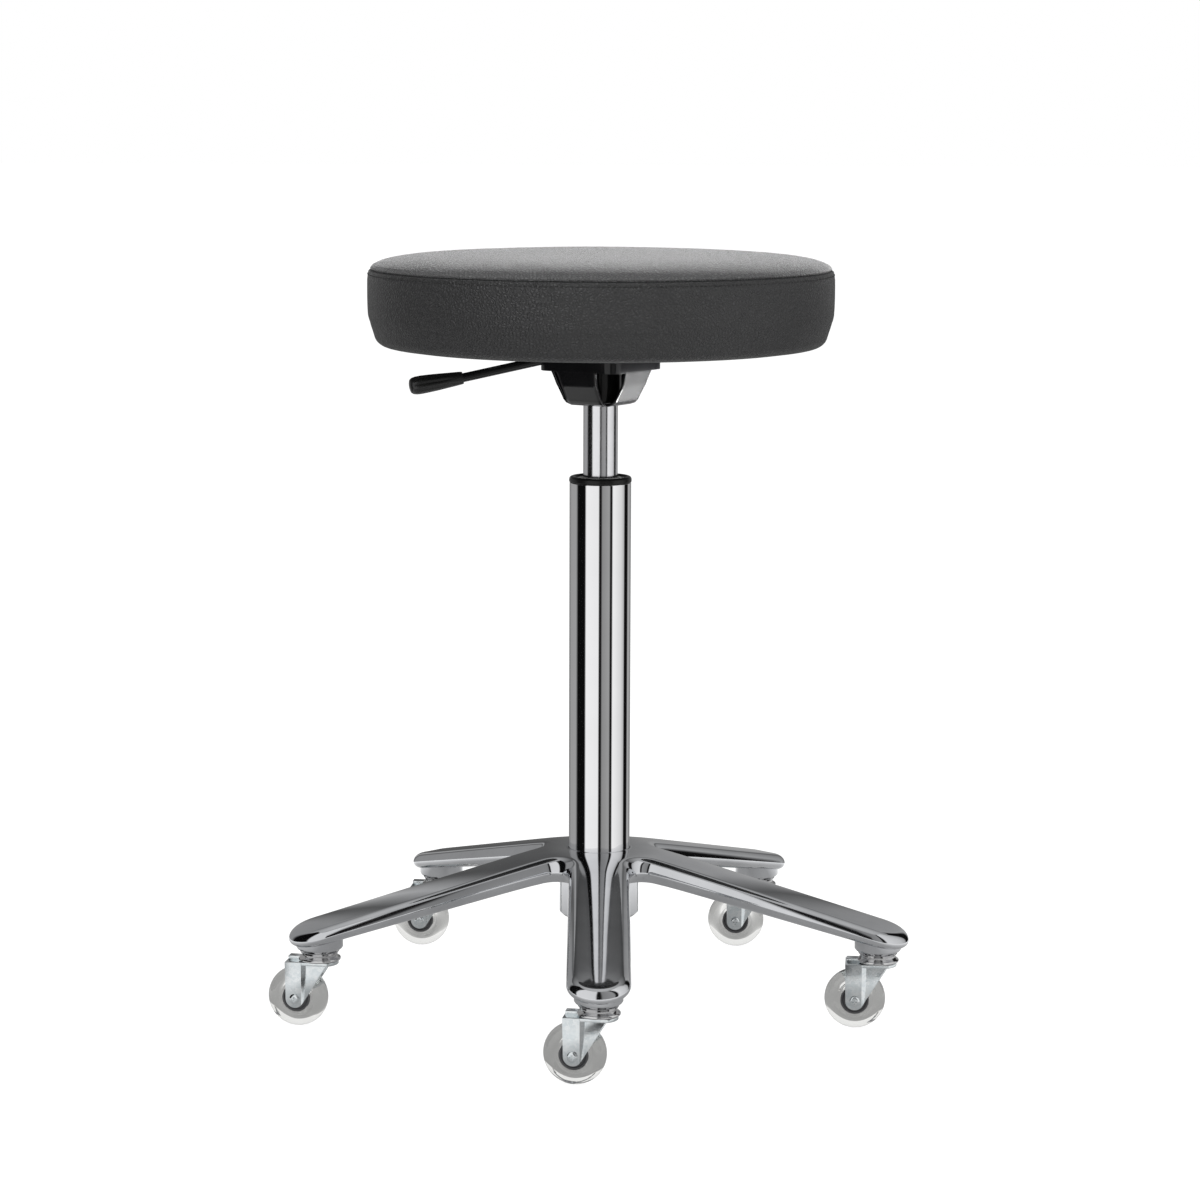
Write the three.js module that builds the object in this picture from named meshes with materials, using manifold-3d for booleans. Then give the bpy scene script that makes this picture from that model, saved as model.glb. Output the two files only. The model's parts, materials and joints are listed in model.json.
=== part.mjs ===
// Height-adjustable swivel stool on a five-star base with castors.
// Millimetres, +Z up, origin on the floor under the column's axis, -Y is the front.

import * as THREE from 'three';
import { mergeVertices } from 'three/addons/utils/BufferGeometryUtils.js';
import Module from 'manifold-3d';

const wasm = await Module();
wasm.setup();

// ---------------------------------------------------------------- driving dimensions
const GAP = 0.3;                 // clearance between pieces that touch

const LEGS = 5;
const FRONT_LEG_ANGLE = -90;     // degrees, the first leg points to the front
const CASTOR_CIRCLE_R = 236.4;   // column axis to castor pivot
const LEG_WIDTH = 49.4;
const LEG_TIP_TOP_Z = 87;
const LEG_TIP_THICKNESS = 15.5;
const LEG_ROOT_THICKNESS = 21.5;
const LEG_KNEE_R = 48;           // the hub's top is level this far out, then the legs fall
const HUB_TOP_Z = 132.4;
const HUB_BOTTOM_Z = 76.5;
const HUB_R = 32.5;
const HUB_NECK_R = 26.8;
const BOSS_R = 18.8;
const BOSS_BOTTOM_Z = 64.6;

const TUBE_R = 25;
const TUBE_WALL = 1.5;
const TUBE_BOTTOM_Z = 84;
const TUBE_TOP_Z = 432.7;
const COLLAR_TOP_Z = 443;
const SLEEVE_LENGTH = 115;

const CYLINDER_R = 14;
const CYLINDER_WALL = 1.8;
const CYLINDER_BOTTOM_Z = 144;
const CYLINDER_TOP_Z = 528;
const CONE_BOTTOM_Z = 497;
const CONE_TOP_R = 13;
const ROD_R = 5;
const ROD_SPIGOT_R = 4;
const PISTON_Z = 326;
const VALVE_PIN_R = 3;
const VALVE_PIN_TOP_Z = 532.2;

const MECHANISM_TURN = 11.5;     // degrees, the housing's corner from straight ahead
const FLANGE_HALF = 37.5;
const FLANGE_CORNER_R = 14;
const FLANGE_BOTTOM_Z = 525;
const SHEET = 2.2;               // pressed steel of the mechanism
const PLATE_HALF = 78;
const PLATE_BOTTOM_Z = 540.3;
const PLATE_TOP_Z = 543.3;
const SCREW_HALF_SPACING = 62;
const SCREW_R = 3;
const SOCKET_R = 17.2;

const LEVER_TURN = THREE.MathUtils.degToRad(225);   // out by the housing's left-hand corner
const LEVER_R = 3.65;
const LEVER_PIVOT_S = 30;        // pivot's distance from the column axis
const LEVER_Z = 536.2;
const GRIP_START_S = 113;
const GRIP_LENGTH = 43.5;
const GRIP_TILT = 8.5;           // degrees below level

const SEAT_R = 187.8;
const SEAM_Z = 606.5;
const CROWN = 12;
const KNUCKLE_Z = 567;           // where the side starts to taper in
const SEAT_BOTTOM_R = 181;
const SEAT_BOTTOM_Z = 543.6;
const LEATHER = 1.4;
const BOARD_R = 171;
const BOARD_Z = [545.6, 557.6];
const COVER_MARGIN_R = 150;

const WHEEL_R = 24.5;
const TYRE_HALF_WIDTH = 9;
const WHEEL_HUB_R = 11.4;
const TRAIL = 18;                // castor pivot to wheel axle
const AXLE_R = 3;
const STEM_R = 5.2;
const STEM_BORE_R = 5.7;
const STEM_TOP_Z = 81;
const FORK_HALF_WIDTH = 12.5;
const FORK_SHEET = 2;
const CROWN_Z = [52.1, 54.6];
const CASTOR_YAWS = [-9, -5, -4.5, -6, -10];   // resting turn of each castor, degrees

const rad = THREE.MathUtils.degToRad;

// ---------------------------------------------------------------- materials
const finish = (color, roughness, metalness) =>
  new THREE.MeshStandardMaterial({ color, roughness, metalness });
const polishedAluminium = finish(0xc9cbce, 0.15, 1);
const chrome = finish(0xdedfe2, 0.05, 1);
const brightSteel = finish(0xb9bcc2, 0.25, 1);
const zinc = finish(0xc5d0d4, 0.35, 1);
const blackPlastic = finish(0x121213, 0.35, 0);
const blackSteel = finish(0x141518, 0.3, 0.3);
const greyPlastic = finish(0x8d8f90, 0.5, 0);
const bearingGrey = finish(0x4a4b4d, 0.45, 0.4);
const clearTyre = finish(0xd6d5d2, 0.15, 0);
const leather = finish(0x2c2c2e, 0.5, 0);
const foam = finish(0xd8d2b8, 0.9, 0);
const plywood = finish(0xb48a5a, 0.7, 0);
const blackCloth = finish(0x1a1a1a, 0.95, 0);

// ---------------------------------------------------------------- helpers
const stool = new THREE.Group();

function piece(name, geometry, material, parent = stool) {
  const mesh = new THREE.Mesh(geometry, material);
  mesh.name = name;
  parent.add(mesh);
  return mesh;
}

// Solid of revolution about Z from [radius, height] points; a ring closes on itself.
function turned(points, segments = 32) {
  const outline = points.map(([r, z]) => new THREE.Vector2(r, z));
  if (THREE.ShapeUtils.area(outline) < 0) outline.reverse();
  const onAxis = outline.filter((p) => p.x === 0).length;
  if (onAxis === 0) outline.push(outline[0].clone());
  while (onAxis > 0 && !(outline[0].x === 0 && outline[outline.length - 1].x === 0)) {
    outline.push(outline.shift());
  }
  const geometry = new THREE.LatheGeometry(outline, segments);
  return geometry.rotateX(Math.PI / 2);
}

function ring(innerR, outerR, z0, z1, segments = 32) {
  return turned([[innerR, z0], [outerR, z0], [outerR, z1], [innerR, z1]], segments);
}

function rod(radius, z0, z1, segments = 16) {
  const geometry = new THREE.CylinderGeometry(radius, radius, z1 - z0, segments);
  return geometry.rotateX(Math.PI / 2).translate(0, 0, (z0 + z1) / 2);
}

// Extrusion upwards from z0 to z1 of an outline in XY.
function slab(shape, z0, z1, curveSegments = 6) {
  const options = { depth: z1 - z0, bevelEnabled: false, curveSegments };
  return new THREE.ExtrudeGeometry(shape, options).translate(0, 0, z0);
}

// Extrusion across Y, centred on y, of an outline in XZ.
function sidePlate(shape, y, width, curveSegments = 6) {
  const options = { depth: width, bevelEnabled: false, curveSegments };
  const geometry = new THREE.ExtrudeGeometry(shape, options).translate(0, 0, -width / 2);
  return geometry.rotateX(Math.PI / 2).translate(0, y, 0);
}

function polygon(points) {
  return new THREE.Shape(points.map(([x, y]) => new THREE.Vector2(x, y)));
}

function roundedSquare(half, radius) {
  const shape = new THREE.Shape();
  const inner = half - radius;
  shape.absarc(inner, inner, radius, 0, Math.PI / 2);
  shape.absarc(-inner, inner, radius, Math.PI / 2, Math.PI);
  shape.absarc(-inner, -inner, radius, Math.PI, Math.PI * 1.5);
  shape.absarc(inner, -inner, radius, Math.PI * 1.5, Math.PI * 2);
  return shape;
}

function toSolid(geometry) {
  const bare = geometry.clone();
  bare.deleteAttribute('normal');
  bare.deleteAttribute('uv');
  const merged = mergeVertices(bare, 1e-4);
  const vertProperties = Float32Array.from(merged.attributes.position.array);
  const triVerts = Uint32Array.from(merged.index.array);
  return new wasm.Manifold(new wasm.Mesh({ numProp: 3, vertProperties, triVerts }));
}

function toGeometry(solid) {
  const mesh = solid.getMesh();
  const geometry = new THREE.BufferGeometry();
  const position = new THREE.BufferAttribute(Float32Array.from(mesh.vertProperties), 3);
  geometry.setAttribute('position', position);
  geometry.setIndex(Array.from(mesh.triVerts));
  geometry.computeVertexNormals();
  return geometry;
}

function joined(...geometries) {
  return toGeometry(geometries.map(toSolid).reduce((a, b) => a.add(b)));
}

function cut(geometry, ...cutters) {
  return toGeometry(cutters.map(toSolid).reduce((a, b) => a.subtract(b), toSolid(geometry)));
}

function shared(a, b) {
  return toGeometry(toSolid(a).intersect(toSolid(b)));
}

const legAngle = (index) => FRONT_LEG_ANGLE + (index * 360) / LEGS;

// ---------------------------------------------------------------- base
// Height of a leg's top face at distance s from the column axis: level, then a steady fall.
function legTop(s) {
  const softness = 8;
  const slope = (HUB_TOP_Z - LEG_TIP_TOP_Z) / (CASTOR_CIRCLE_R - LEG_KNEE_R);
  return HUB_TOP_Z - slope * softness * Math.log(1 + Math.exp((s - LEG_KNEE_R) / softness));
}

function legBottom(s) {
  const t = (s - LEG_KNEE_R) / (CASTOR_CIRCLE_R - LEG_KNEE_R);
  return legTop(s) - THREE.MathUtils.lerp(LEG_ROOT_THICKNESS, LEG_TIP_THICKNESS, t);
}

function legBlank() {
  const stations = [HUB_NECK_R, 42, 52, 66, CASTOR_CIRCLE_R];
  const tip = CASTOR_CIRCLE_R + LEG_WIDTH / 2;
  const noseStart = tip - LEG_TIP_THICKNESS / 2;
  const noseMid = (legTop(noseStart) + legBottom(noseStart)) / 2;
  const side = new THREE.Shape();
  side.moveTo(0, HUB_TOP_Z);
  stations.forEach((s) => side.lineTo(s, legTop(s)));
  side.lineTo(noseStart, legTop(noseStart));
  side.quadraticCurveTo(tip, legTop(tip) - 1, tip, noseMid);
  side.quadraticCurveTo(tip, legBottom(tip) + 1, noseStart, legBottom(noseStart));
  stations.toReversed().slice(0, -1).forEach((s) => side.lineTo(s, legBottom(s)));
  side.lineTo(0, legBottom(HUB_R));
  const plan = new THREE.Shape();
  const half = LEG_WIDTH / 2;
  plan.moveTo(0, -half);
  plan.lineTo(CASTOR_CIRCLE_R, -half);
  plan.absarc(CASTOR_CIRCLE_R, 0, half, -Math.PI / 2, Math.PI / 2);
  plan.lineTo(0, half);
  return shared(sidePlate(side, 0, LEG_WIDTH + 2, 3), slab(plan, 0, 200, 10));
}

function starBase() {
  const neck = turned([
    [0, HUB_BOTTOM_Z],
    [HUB_R - 2.5, HUB_BOTTOM_Z],
    [HUB_R, HUB_BOTTOM_Z + 2.5],
    [HUB_R, HUB_TOP_Z - 22],
    [HUB_NECK_R, HUB_TOP_Z - 5],
    [HUB_NECK_R, HUB_TOP_Z],
    [0, HUB_TOP_Z],
  ], 32);
  let body = toSolid(neck);
  for (let i = 0; i < LEGS; i += 1) {
    const boss = turned([
      [0, BOSS_BOTTOM_Z],
      [BOSS_R - 1.5, BOSS_BOTTOM_Z],
      [BOSS_R, BOSS_BOTTOM_Z + 1.5],
      [BOSS_R, LEG_TIP_TOP_Z - 8],
      [0, LEG_TIP_TOP_Z - 8],
    ], 16).translate(CASTOR_CIRCLE_R, 0, 0);
    const turn = rad(legAngle(i));
    const bore = rod(STEM_BORE_R, 0, STEM_TOP_Z + GAP, 10).translate(CASTOR_CIRCLE_R, 0, 0);
    body = body.add(toSolid(legBlank().rotateZ(turn)));
    body = body.add(toSolid(boss.rotateZ(turn)));
    body = body.subtract(toSolid(bore.rotateZ(turn)));
  }
  body = body.subtract(toSolid(rod(TUBE_R + GAP, 0, 200, 32)));
  piece('star_base', toGeometry(body), polishedAluminium);
}

// ---------------------------------------------------------------- column
function column() {
  const bore = TUBE_R - TUBE_WALL;
  const floorTop = TUBE_BOTTOM_Z + 3;
  piece('column_tube', turned([
    [ROD_SPIGOT_R + 2, TUBE_BOTTOM_Z],
    [TUBE_R - 1, TUBE_BOTTOM_Z],
    [TUBE_R, TUBE_BOTTOM_Z + 1],
    [TUBE_R, TUBE_TOP_Z - 1.2],
    [TUBE_R - 0.8, TUBE_TOP_Z],
    [bore, TUBE_TOP_Z],
    [bore, floorTop],
    [ROD_SPIGOT_R + 2, floorTop],
  ], 32), chrome);
  const sleeveBottom = TUBE_TOP_Z - SLEEVE_LENGTH;
  piece('guide_sleeve', turned([
    [CYLINDER_R + GAP, sleeveBottom],
    [bore - GAP, sleeveBottom],
    [bore - GAP, TUBE_TOP_Z + 1.5],
    [CYLINDER_R + GAP, TUBE_TOP_Z + 1.5],
  ], 24), blackPlastic);
  const lip = TUBE_TOP_Z + GAP;
  piece('column_collar', turned([
    [bore + GAP, lip],
    [TUBE_R + 0.3, lip],
    [TUBE_R + 0.4, lip + 5],
    [TUBE_R - 1.2, COLLAR_TOP_Z - 1.2],
    [TUBE_R - 3.6, COLLAR_TOP_Z],
    [TUBE_R - 5, COLLAR_TOP_Z - 1.5],
    [TUBE_R - 5, lip + 3.5],
    [bore + GAP, lip + 3.5],
  ], 32), blackPlastic);
  piece('wiper_ring', turned([
    [CYLINDER_R + GAP, TUBE_TOP_Z + 2],
    [TUBE_R - 5 - GAP, TUBE_TOP_Z + 2],
    [TUBE_R - 5 - GAP, COLLAR_TOP_Z - 3.6],
    [CYLINDER_R + GAP + 1, COLLAR_TOP_Z - 2.6],
    [CYLINDER_R + GAP, COLLAR_TOP_Z - 3.2],
  ], 24), greyPlastic);
  return floorTop;
}

// ---------------------------------------------------------------- piston rod and thrust bearing
function pistonRod(floorTop) {
  const race = 2;
  const ball = 2;
  const lowerTop = floorTop + GAP + race;
  const ballMid = lowerTop + GAP + ball;
  const upperBottom = ballMid + ball + GAP;
  const shoulder = upperBottom + race + GAP;
  const raceBore = ROD_SPIGOT_R + 0.4;
  piece('bearing_lower_race', ring(raceBore, 14, floorTop + GAP, lowerTop, 20), brightSteel);
  const ballRing = [];
  for (let k = 0; k < 6; k += 1) {
    const a = (k * Math.PI) / 3;
    ballRing.push([9.5 + ball * Math.cos(a), ballMid + ball * Math.sin(a)]);
  }
  piece('bearing_balls', turned(ballRing, 16), brightSteel);
  piece('bearing_upper_race', ring(raceBore, 14, upperBottom, upperBottom + race, 20), brightSteel);
  piece('piston_rod', turned([
    [0, TUBE_BOTTOM_Z - 6],
    [ROD_SPIGOT_R, TUBE_BOTTOM_Z - 6],
    [ROD_SPIGOT_R, shoulder],
    [ROD_R, shoulder],
    [ROD_R, PISTON_Z - GAP],
    [0, PISTON_Z - GAP],
  ], 16), brightSteel);
  piece('piston_head', turned([
    [0, PISTON_Z],
    [10.8, PISTON_Z],
    [11.8, PISTON_Z + 1],
    [11.8, PISTON_Z + 11],
    [10.8, PISTON_Z + 12],
    [0, PISTON_Z + 12],
  ], 16), bearingGrey);
  piece('rod_clip', ring(raceBore, 9, TUBE_BOTTOM_Z - 3.3, TUBE_BOTTOM_Z - GAP, 16), brightSteel);
}

// ---------------------------------------------------------------- gas cylinder
function gasCylinder() {
  const inner = CYLINDER_R - CYLINDER_WALL;
  const capBottom = CYLINDER_TOP_Z - 18;
  const top = CYLINDER_TOP_Z;
  piece('gas_cylinder', turned([
    [inner, CYLINDER_BOTTOM_Z],
    [CYLINDER_R - 0.6, CYLINDER_BOTTOM_Z],
    [CYLINDER_R, CYLINDER_BOTTOM_Z + 0.8],
    [CYLINDER_R, CONE_BOTTOM_Z],
    [CONE_TOP_R, top - 1],
    [CONE_TOP_R - 1, top],
    [VALVE_PIN_R + GAP, top],
    [VALVE_PIN_R + GAP, capBottom],
    [inner - 2, capBottom],
    [inner, capBottom - 2],
  ], 24), chrome);
  piece('rod_guide', ring(
    ROD_R + GAP, inner - GAP, CYLINDER_BOTTOM_Z + 1, CYLINDER_BOTTOM_Z + 21, 20,
  ), bearingGrey);
  piece('valve_pin', rod(VALVE_PIN_R, capBottom + 2, VALVE_PIN_TOP_Z, 10), brightSteel);
}

// ---------------------------------------------------------------- mechanism under the seat
const mechanism = new THREE.Group();
mechanism.rotation.z = rad(FRONT_LEG_ANGLE + MECHANISM_TURN + 45);
stool.add(mechanism);

// One folded side of the pan: wide at the flange with its corners cut away, full at the foot.
function panFlap() {
  const outer = [
    [FLANGE_HALF - 0.5, FLANGE_BOTTOM_Z + 1],
    [31.5, 514.5],
    [22.6, 503.4],
    [18.4, 499.6],
  ];
  const profile = polygon([
    ...outer,
    [18.4 - 0.4, 499.6 + SHEET],
    [22.6 - SHEET, 503.4 + SHEET],
    [31.5 - SHEET, 514.5 + SHEET * 0.6],
    [FLANGE_HALF - 0.5 - SHEET, FLANGE_BOTTOM_Z + 1],
  ]);
  const reach = FLANGE_HALF + 4;
  const strip = sidePlate(profile, 0, 2 * reach);
  const halfWidthTop = FLANGE_HALF - 17;
  const outline = polygon([
    [halfWidthTop, FLANGE_BOTTOM_Z + 2],
    [halfWidthTop, FLANGE_BOTTOM_Z - 1.5],
    [22.4, 515],
    [20.6, 503.4],
    [18.2, 499.4],
    [18.2, 490],
    [-18.2, 490],
    [-18.2, 499.4],
    [-20.6, 503.4],
    [-22.4, 515],
    [-halfWidthTop, FLANGE_BOTTOM_Z - 1.5],
    [-halfWidthTop, FLANGE_BOTTOM_Z + 2],
  ]);
  const template = sidePlate(outline, 0, 60).rotateZ(Math.PI / 2).translate(30, 0, 0);
  return shared(strip, template);
}

function mechanismHousing() {
  const skirtTop = PLATE_BOTTOM_Z - GAP;
  const skirt = cut(
    slab(roundedSquare(FLANGE_HALF, FLANGE_CORNER_R), FLANGE_BOTTOM_Z, skirtTop),
    slab(roundedSquare(FLANGE_HALF - SHEET, FLANGE_CORNER_R - SHEET), FLANGE_BOTTOM_Z - 1, skirtTop + 1),
  );
  const leverSlot = new THREE.BoxGeometry(20, 9.6, 30).translate(44, 0, 544).rotateZ(LEVER_TURN);
  let housing = toSolid(skirt);
  for (let k = 0; k < 4; k += 1) {
    housing = housing.add(toSolid(panFlap().rotateZ((k * Math.PI) / 2)));
  }
  const bore = rod(SOCKET_R + GAP, 480, 600, 20);
  housing = housing.subtract(toSolid(bore)).subtract(toSolid(leverSlot));
  piece('mechanism_housing', toGeometry(housing), blackSteel, mechanism);
}

function mountingPlate() {
  const plate = slab(roundedSquare(PLATE_HALF, 12), PLATE_BOTTOM_Z, PLATE_TOP_Z, 4);
  const lug = (y) => {
    const tab = polygon([
      [LEVER_PIVOT_S - 5, PLATE_BOTTOM_Z + 1],
      [LEVER_PIVOT_S - 5, LEVER_Z - 4.5],
      [LEVER_PIVOT_S + 5, LEVER_Z - 4.5],
      [LEVER_PIVOT_S + 5, PLATE_BOTTOM_Z + 1],
    ]);
    return sidePlate(tab, y, 2).rotateZ(LEVER_TURN);
  };
  const pinBore = rod(1.5 + GAP, -20, 20, 12)
    .rotateX(Math.PI / 2).translate(LEVER_PIVOT_S, 0, LEVER_Z).rotateZ(LEVER_TURN);
  const holes = screwPlaces().map(([x, y]) => rod(SCREW_R + GAP, 530, 560, 8).translate(x, y, 0));
  piece('mounting_plate', cut(joined(plate, lug(6), lug(-6)), pinBore, ...holes), blackSteel, mechanism);
}

function screwPlaces() {
  const d = SCREW_HALF_SPACING;
  return [[d, d], [-d, d], [-d, -d], [d, -d]];
}

function mountingScrews() {
  const headTop = PLATE_BOTTOM_Z - GAP;
  screwPlaces().forEach(([x, y], index) => {
    const screw = turned([
      [0, headTop - 3.6],
      [4.6, headTop - 3.6],
      [5.6, headTop - 1.5],
      [5.6, headTop],
      [SCREW_R, headTop],
      [SCREW_R, BOARD_Z[1] - 3],
      [0, BOARD_Z[1] - 2],
    ], 8);
    piece(`mounting_screw_${index + 1}`, screw.translate(x, y, 0), zinc, mechanism);
  });
}

function coneSocket() {
  const slope = (CYLINDER_R - CONE_TOP_R) / (CYLINDER_TOP_Z - 1 - CONE_BOTTOM_Z);
  const topBore = CYLINDER_R + GAP - slope * (CYLINDER_TOP_Z - CONE_BOTTOM_Z);
  piece('cone_socket', turned([
    [CYLINDER_R + GAP, CONE_BOTTOM_Z + 1],
    [SOCKET_R - 0.6, CONE_BOTTOM_Z + 1],
    [SOCKET_R, CONE_BOTTOM_Z + 1.8],
    [SOCKET_R, CYLINDER_TOP_Z],
    [topBore, CYLINDER_TOP_Z],
  ], 20), blackSteel, mechanism);
}

// ---------------------------------------------------------------- lever
function lever() {
  const arm = new THREE.Group();
  arm.rotation.z = LEVER_TURN;
  mechanism.add(arm);
  piece('lever_pin', rod(1.5, -8.5, 8.5, 10)
    .rotateX(Math.PI / 2).translate(LEVER_PIVOT_S, 0, LEVER_Z), zinc, arm);
  const tilt = rad(GRIP_TILT);
  const gripZ = LEVER_Z - Math.tan(rad(11.5)) * (GRIP_START_S - LEVER_PIVOT_S - 6);
  const inGrip = 16;
  const route = new THREE.CurvePath();
  const at = (s, z) => new THREE.Vector3(s, 0, z);
  const bend = LEVER_PIVOT_S + 6;
  const bendEnd = at(bend + 5, LEVER_Z - 5 * Math.tan(rad(11.5)));
  const gripStart = at(GRIP_START_S, gripZ);
  const inside = at(GRIP_START_S + inGrip * Math.cos(tilt), gripZ - inGrip * Math.sin(tilt));
  route.add(new THREE.LineCurve3(at(-VALVE_PIN_R, LEVER_Z), at(bend - 5, LEVER_Z)));
  route.add(new THREE.QuadraticBezierCurve3(at(bend - 5, LEVER_Z), at(bend, LEVER_Z), bendEnd));
  route.add(new THREE.LineCurve3(bendEnd, gripStart));
  route.add(new THREE.LineCurve3(gripStart, inside));
  const section = new THREE.Shape();
  section.absarc(0, 0, LEVER_R, 0, Math.PI * 2);
  const bar = new THREE.ExtrudeGeometry(section, { steps: 12, curveSegments: 4, extrudePath: route });
  const pinHole = rod(1.5 + GAP, -20, 20, 10).rotateX(Math.PI / 2).translate(LEVER_PIVOT_S, 0, LEVER_Z);
  piece('lever_rod', cut(bar, pinHole), blackSteel, arm);
  const bore = LEVER_R + 0.45;
  const grip = turned([
    [bore, 0],
    [4.9, 0],
    [5.2, 1.5],
    [6.4, 18],
    [7.4, 34],
    [7.2, 39],
    [5.2, 42.3],
    [0, GRIP_LENGTH],
    [0, inGrip + 1],
    [bore, inGrip + 1],
  ], 16);
  grip.rotateY(Math.PI / 2 + tilt).translate(gripStart.x, 0, gripStart.z);
  piece('lever_grip', grip, blackPlastic, arm);
}

// ---------------------------------------------------------------- seat
// Height of the seat's top above the seam at radius r.
function crownHeight(r, seamR) {
  return CROWN * Math.sqrt(Math.max(0, 1 - (r / seamR) ** 6));
}

function seat() {
  const seamR = SEAT_R - 2.5;
  const inside = SEAT_R - LEATHER;
  const [boardBottom, boardTop] = BOARD_Z;
  const skinBottom = SEAT_BOTTOM_Z + LEATHER;
  piece('cover_side', turned([
    [COVER_MARGIN_R, SEAT_BOTTOM_Z],
    [SEAT_BOTTOM_R - 11, SEAT_BOTTOM_Z],
    [SEAT_BOTTOM_R - 3, SEAT_BOTTOM_Z + 2],
    [SEAT_BOTTOM_R, SEAT_BOTTOM_Z + 5.5],
    [SEAT_R - 0.6, KNUCKLE_Z],
    [SEAT_R, KNUCKLE_Z + 8],
    [SEAT_R, SEAM_Z - 6],
    [seamR, SEAM_Z],
    [seamR - LEATHER, SEAM_Z],
    [inside, SEAM_Z - 6],
    [inside, KNUCKLE_Z + 8],
    [inside - 0.6, KNUCKLE_Z],
    [SEAT_BOTTOM_R - LEATHER, SEAT_BOTTOM_Z + 6],
    [SEAT_BOTTOM_R - 4, skinBottom + 1.5],
    [SEAT_BOTTOM_R - 11, skinBottom],
    [COVER_MARGIN_R, skinBottom],
  ], 36), leather);
  const radii = [0, 105, 145, 168, 180, seamR];
  const skin = radii.map((r) => [r, SEAM_Z + GAP + crownHeight(r, seamR)]);
  const under = radii.toReversed().map((r) => {
    const shrunk = r * (1 - LEATHER / seamR);
    return [shrunk, SEAM_Z + GAP + crownHeight(shrunk, seamR - LEATHER) - (r === seamR ? 0 : LEATHER)];
  });
  piece('cover_top', turned([...skin, ...under], 36), leather);
  const foamR = inside - GAP - 0.5;
  const foamTop = [162, 105, 0].map((r) => [r, SEAM_Z + crownHeight(r, seamR) - LEATHER - 1]);
  piece('seat_foam', turned([
    [0, boardTop + GAP],
    [SEAT_BOTTOM_R - 1, boardTop + GAP],
    [foamR - 1, KNUCKLE_Z + 4],
    [foamR, KNUCKLE_Z + 10],
    [foamR, SEAM_Z - 8],
    [foamR - 4, SEAM_Z - 1],
    ...foamTop,
  ], 28), foam);
  const place = mechanism.rotation.z;
  const holes = () => screwPlaces().map(([x, y]) =>
    rod(SCREW_R + GAP, 530, 560, 8).translate(x, y, 0).rotateZ(place));
  piece('seat_board', cut(rod(BOARD_R, boardBottom, boardTop, 36), ...holes()), plywood);
  const cloth = rod(COVER_MARGIN_R - 1, PLATE_TOP_Z + GAP, boardBottom - GAP, 32);
  piece('dust_cover', cut(cloth, ...holes()), blackCloth);
}

// ---------------------------------------------------------------- castors
function forkSide() {
  const end = 7.4;
  const shape = new THREE.Shape();
  shape.moveTo(-TRAIL - end - 0.6, CROWN_Z[1]);
  shape.lineTo(-TRAIL - end, WHEEL_R);
  shape.absarc(-TRAIL, WHEEL_R, end, Math.PI, Math.PI * 1.82);
  shape.lineTo(5.5, CROWN_Z[0] - 4);
  shape.lineTo(8, CROWN_Z[1]);
  return shape;
}

function castorFork() {
  const legY = FORK_HALF_WIDTH - FORK_SHEET / 2;
  const crown = rod(15.5, CROWN_Z[0], CROWN_Z[1], 16);
  const bridge = new THREE.BoxGeometry(TRAIL + 8, 2 * FORK_HALF_WIDTH, CROWN_Z[1] - CROWN_Z[0])
    .translate(-(TRAIL + 8) / 2, 0, (CROWN_Z[0] + CROWN_Z[1]) / 2);
  const body = joined(
    crown,
    bridge,
    sidePlate(forkSide(), legY, FORK_SHEET, 3),
    sidePlate(forkSide(), -legY, FORK_SHEET, 3),
  );
  const axleHole = rod(AXLE_R + GAP, -30, 30, 8).rotateX(Math.PI / 2).translate(-TRAIL, 0, WHEEL_R);
  return cut(body, rod(STEM_BORE_R, 40, 60, 10), axleHole);
}

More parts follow.
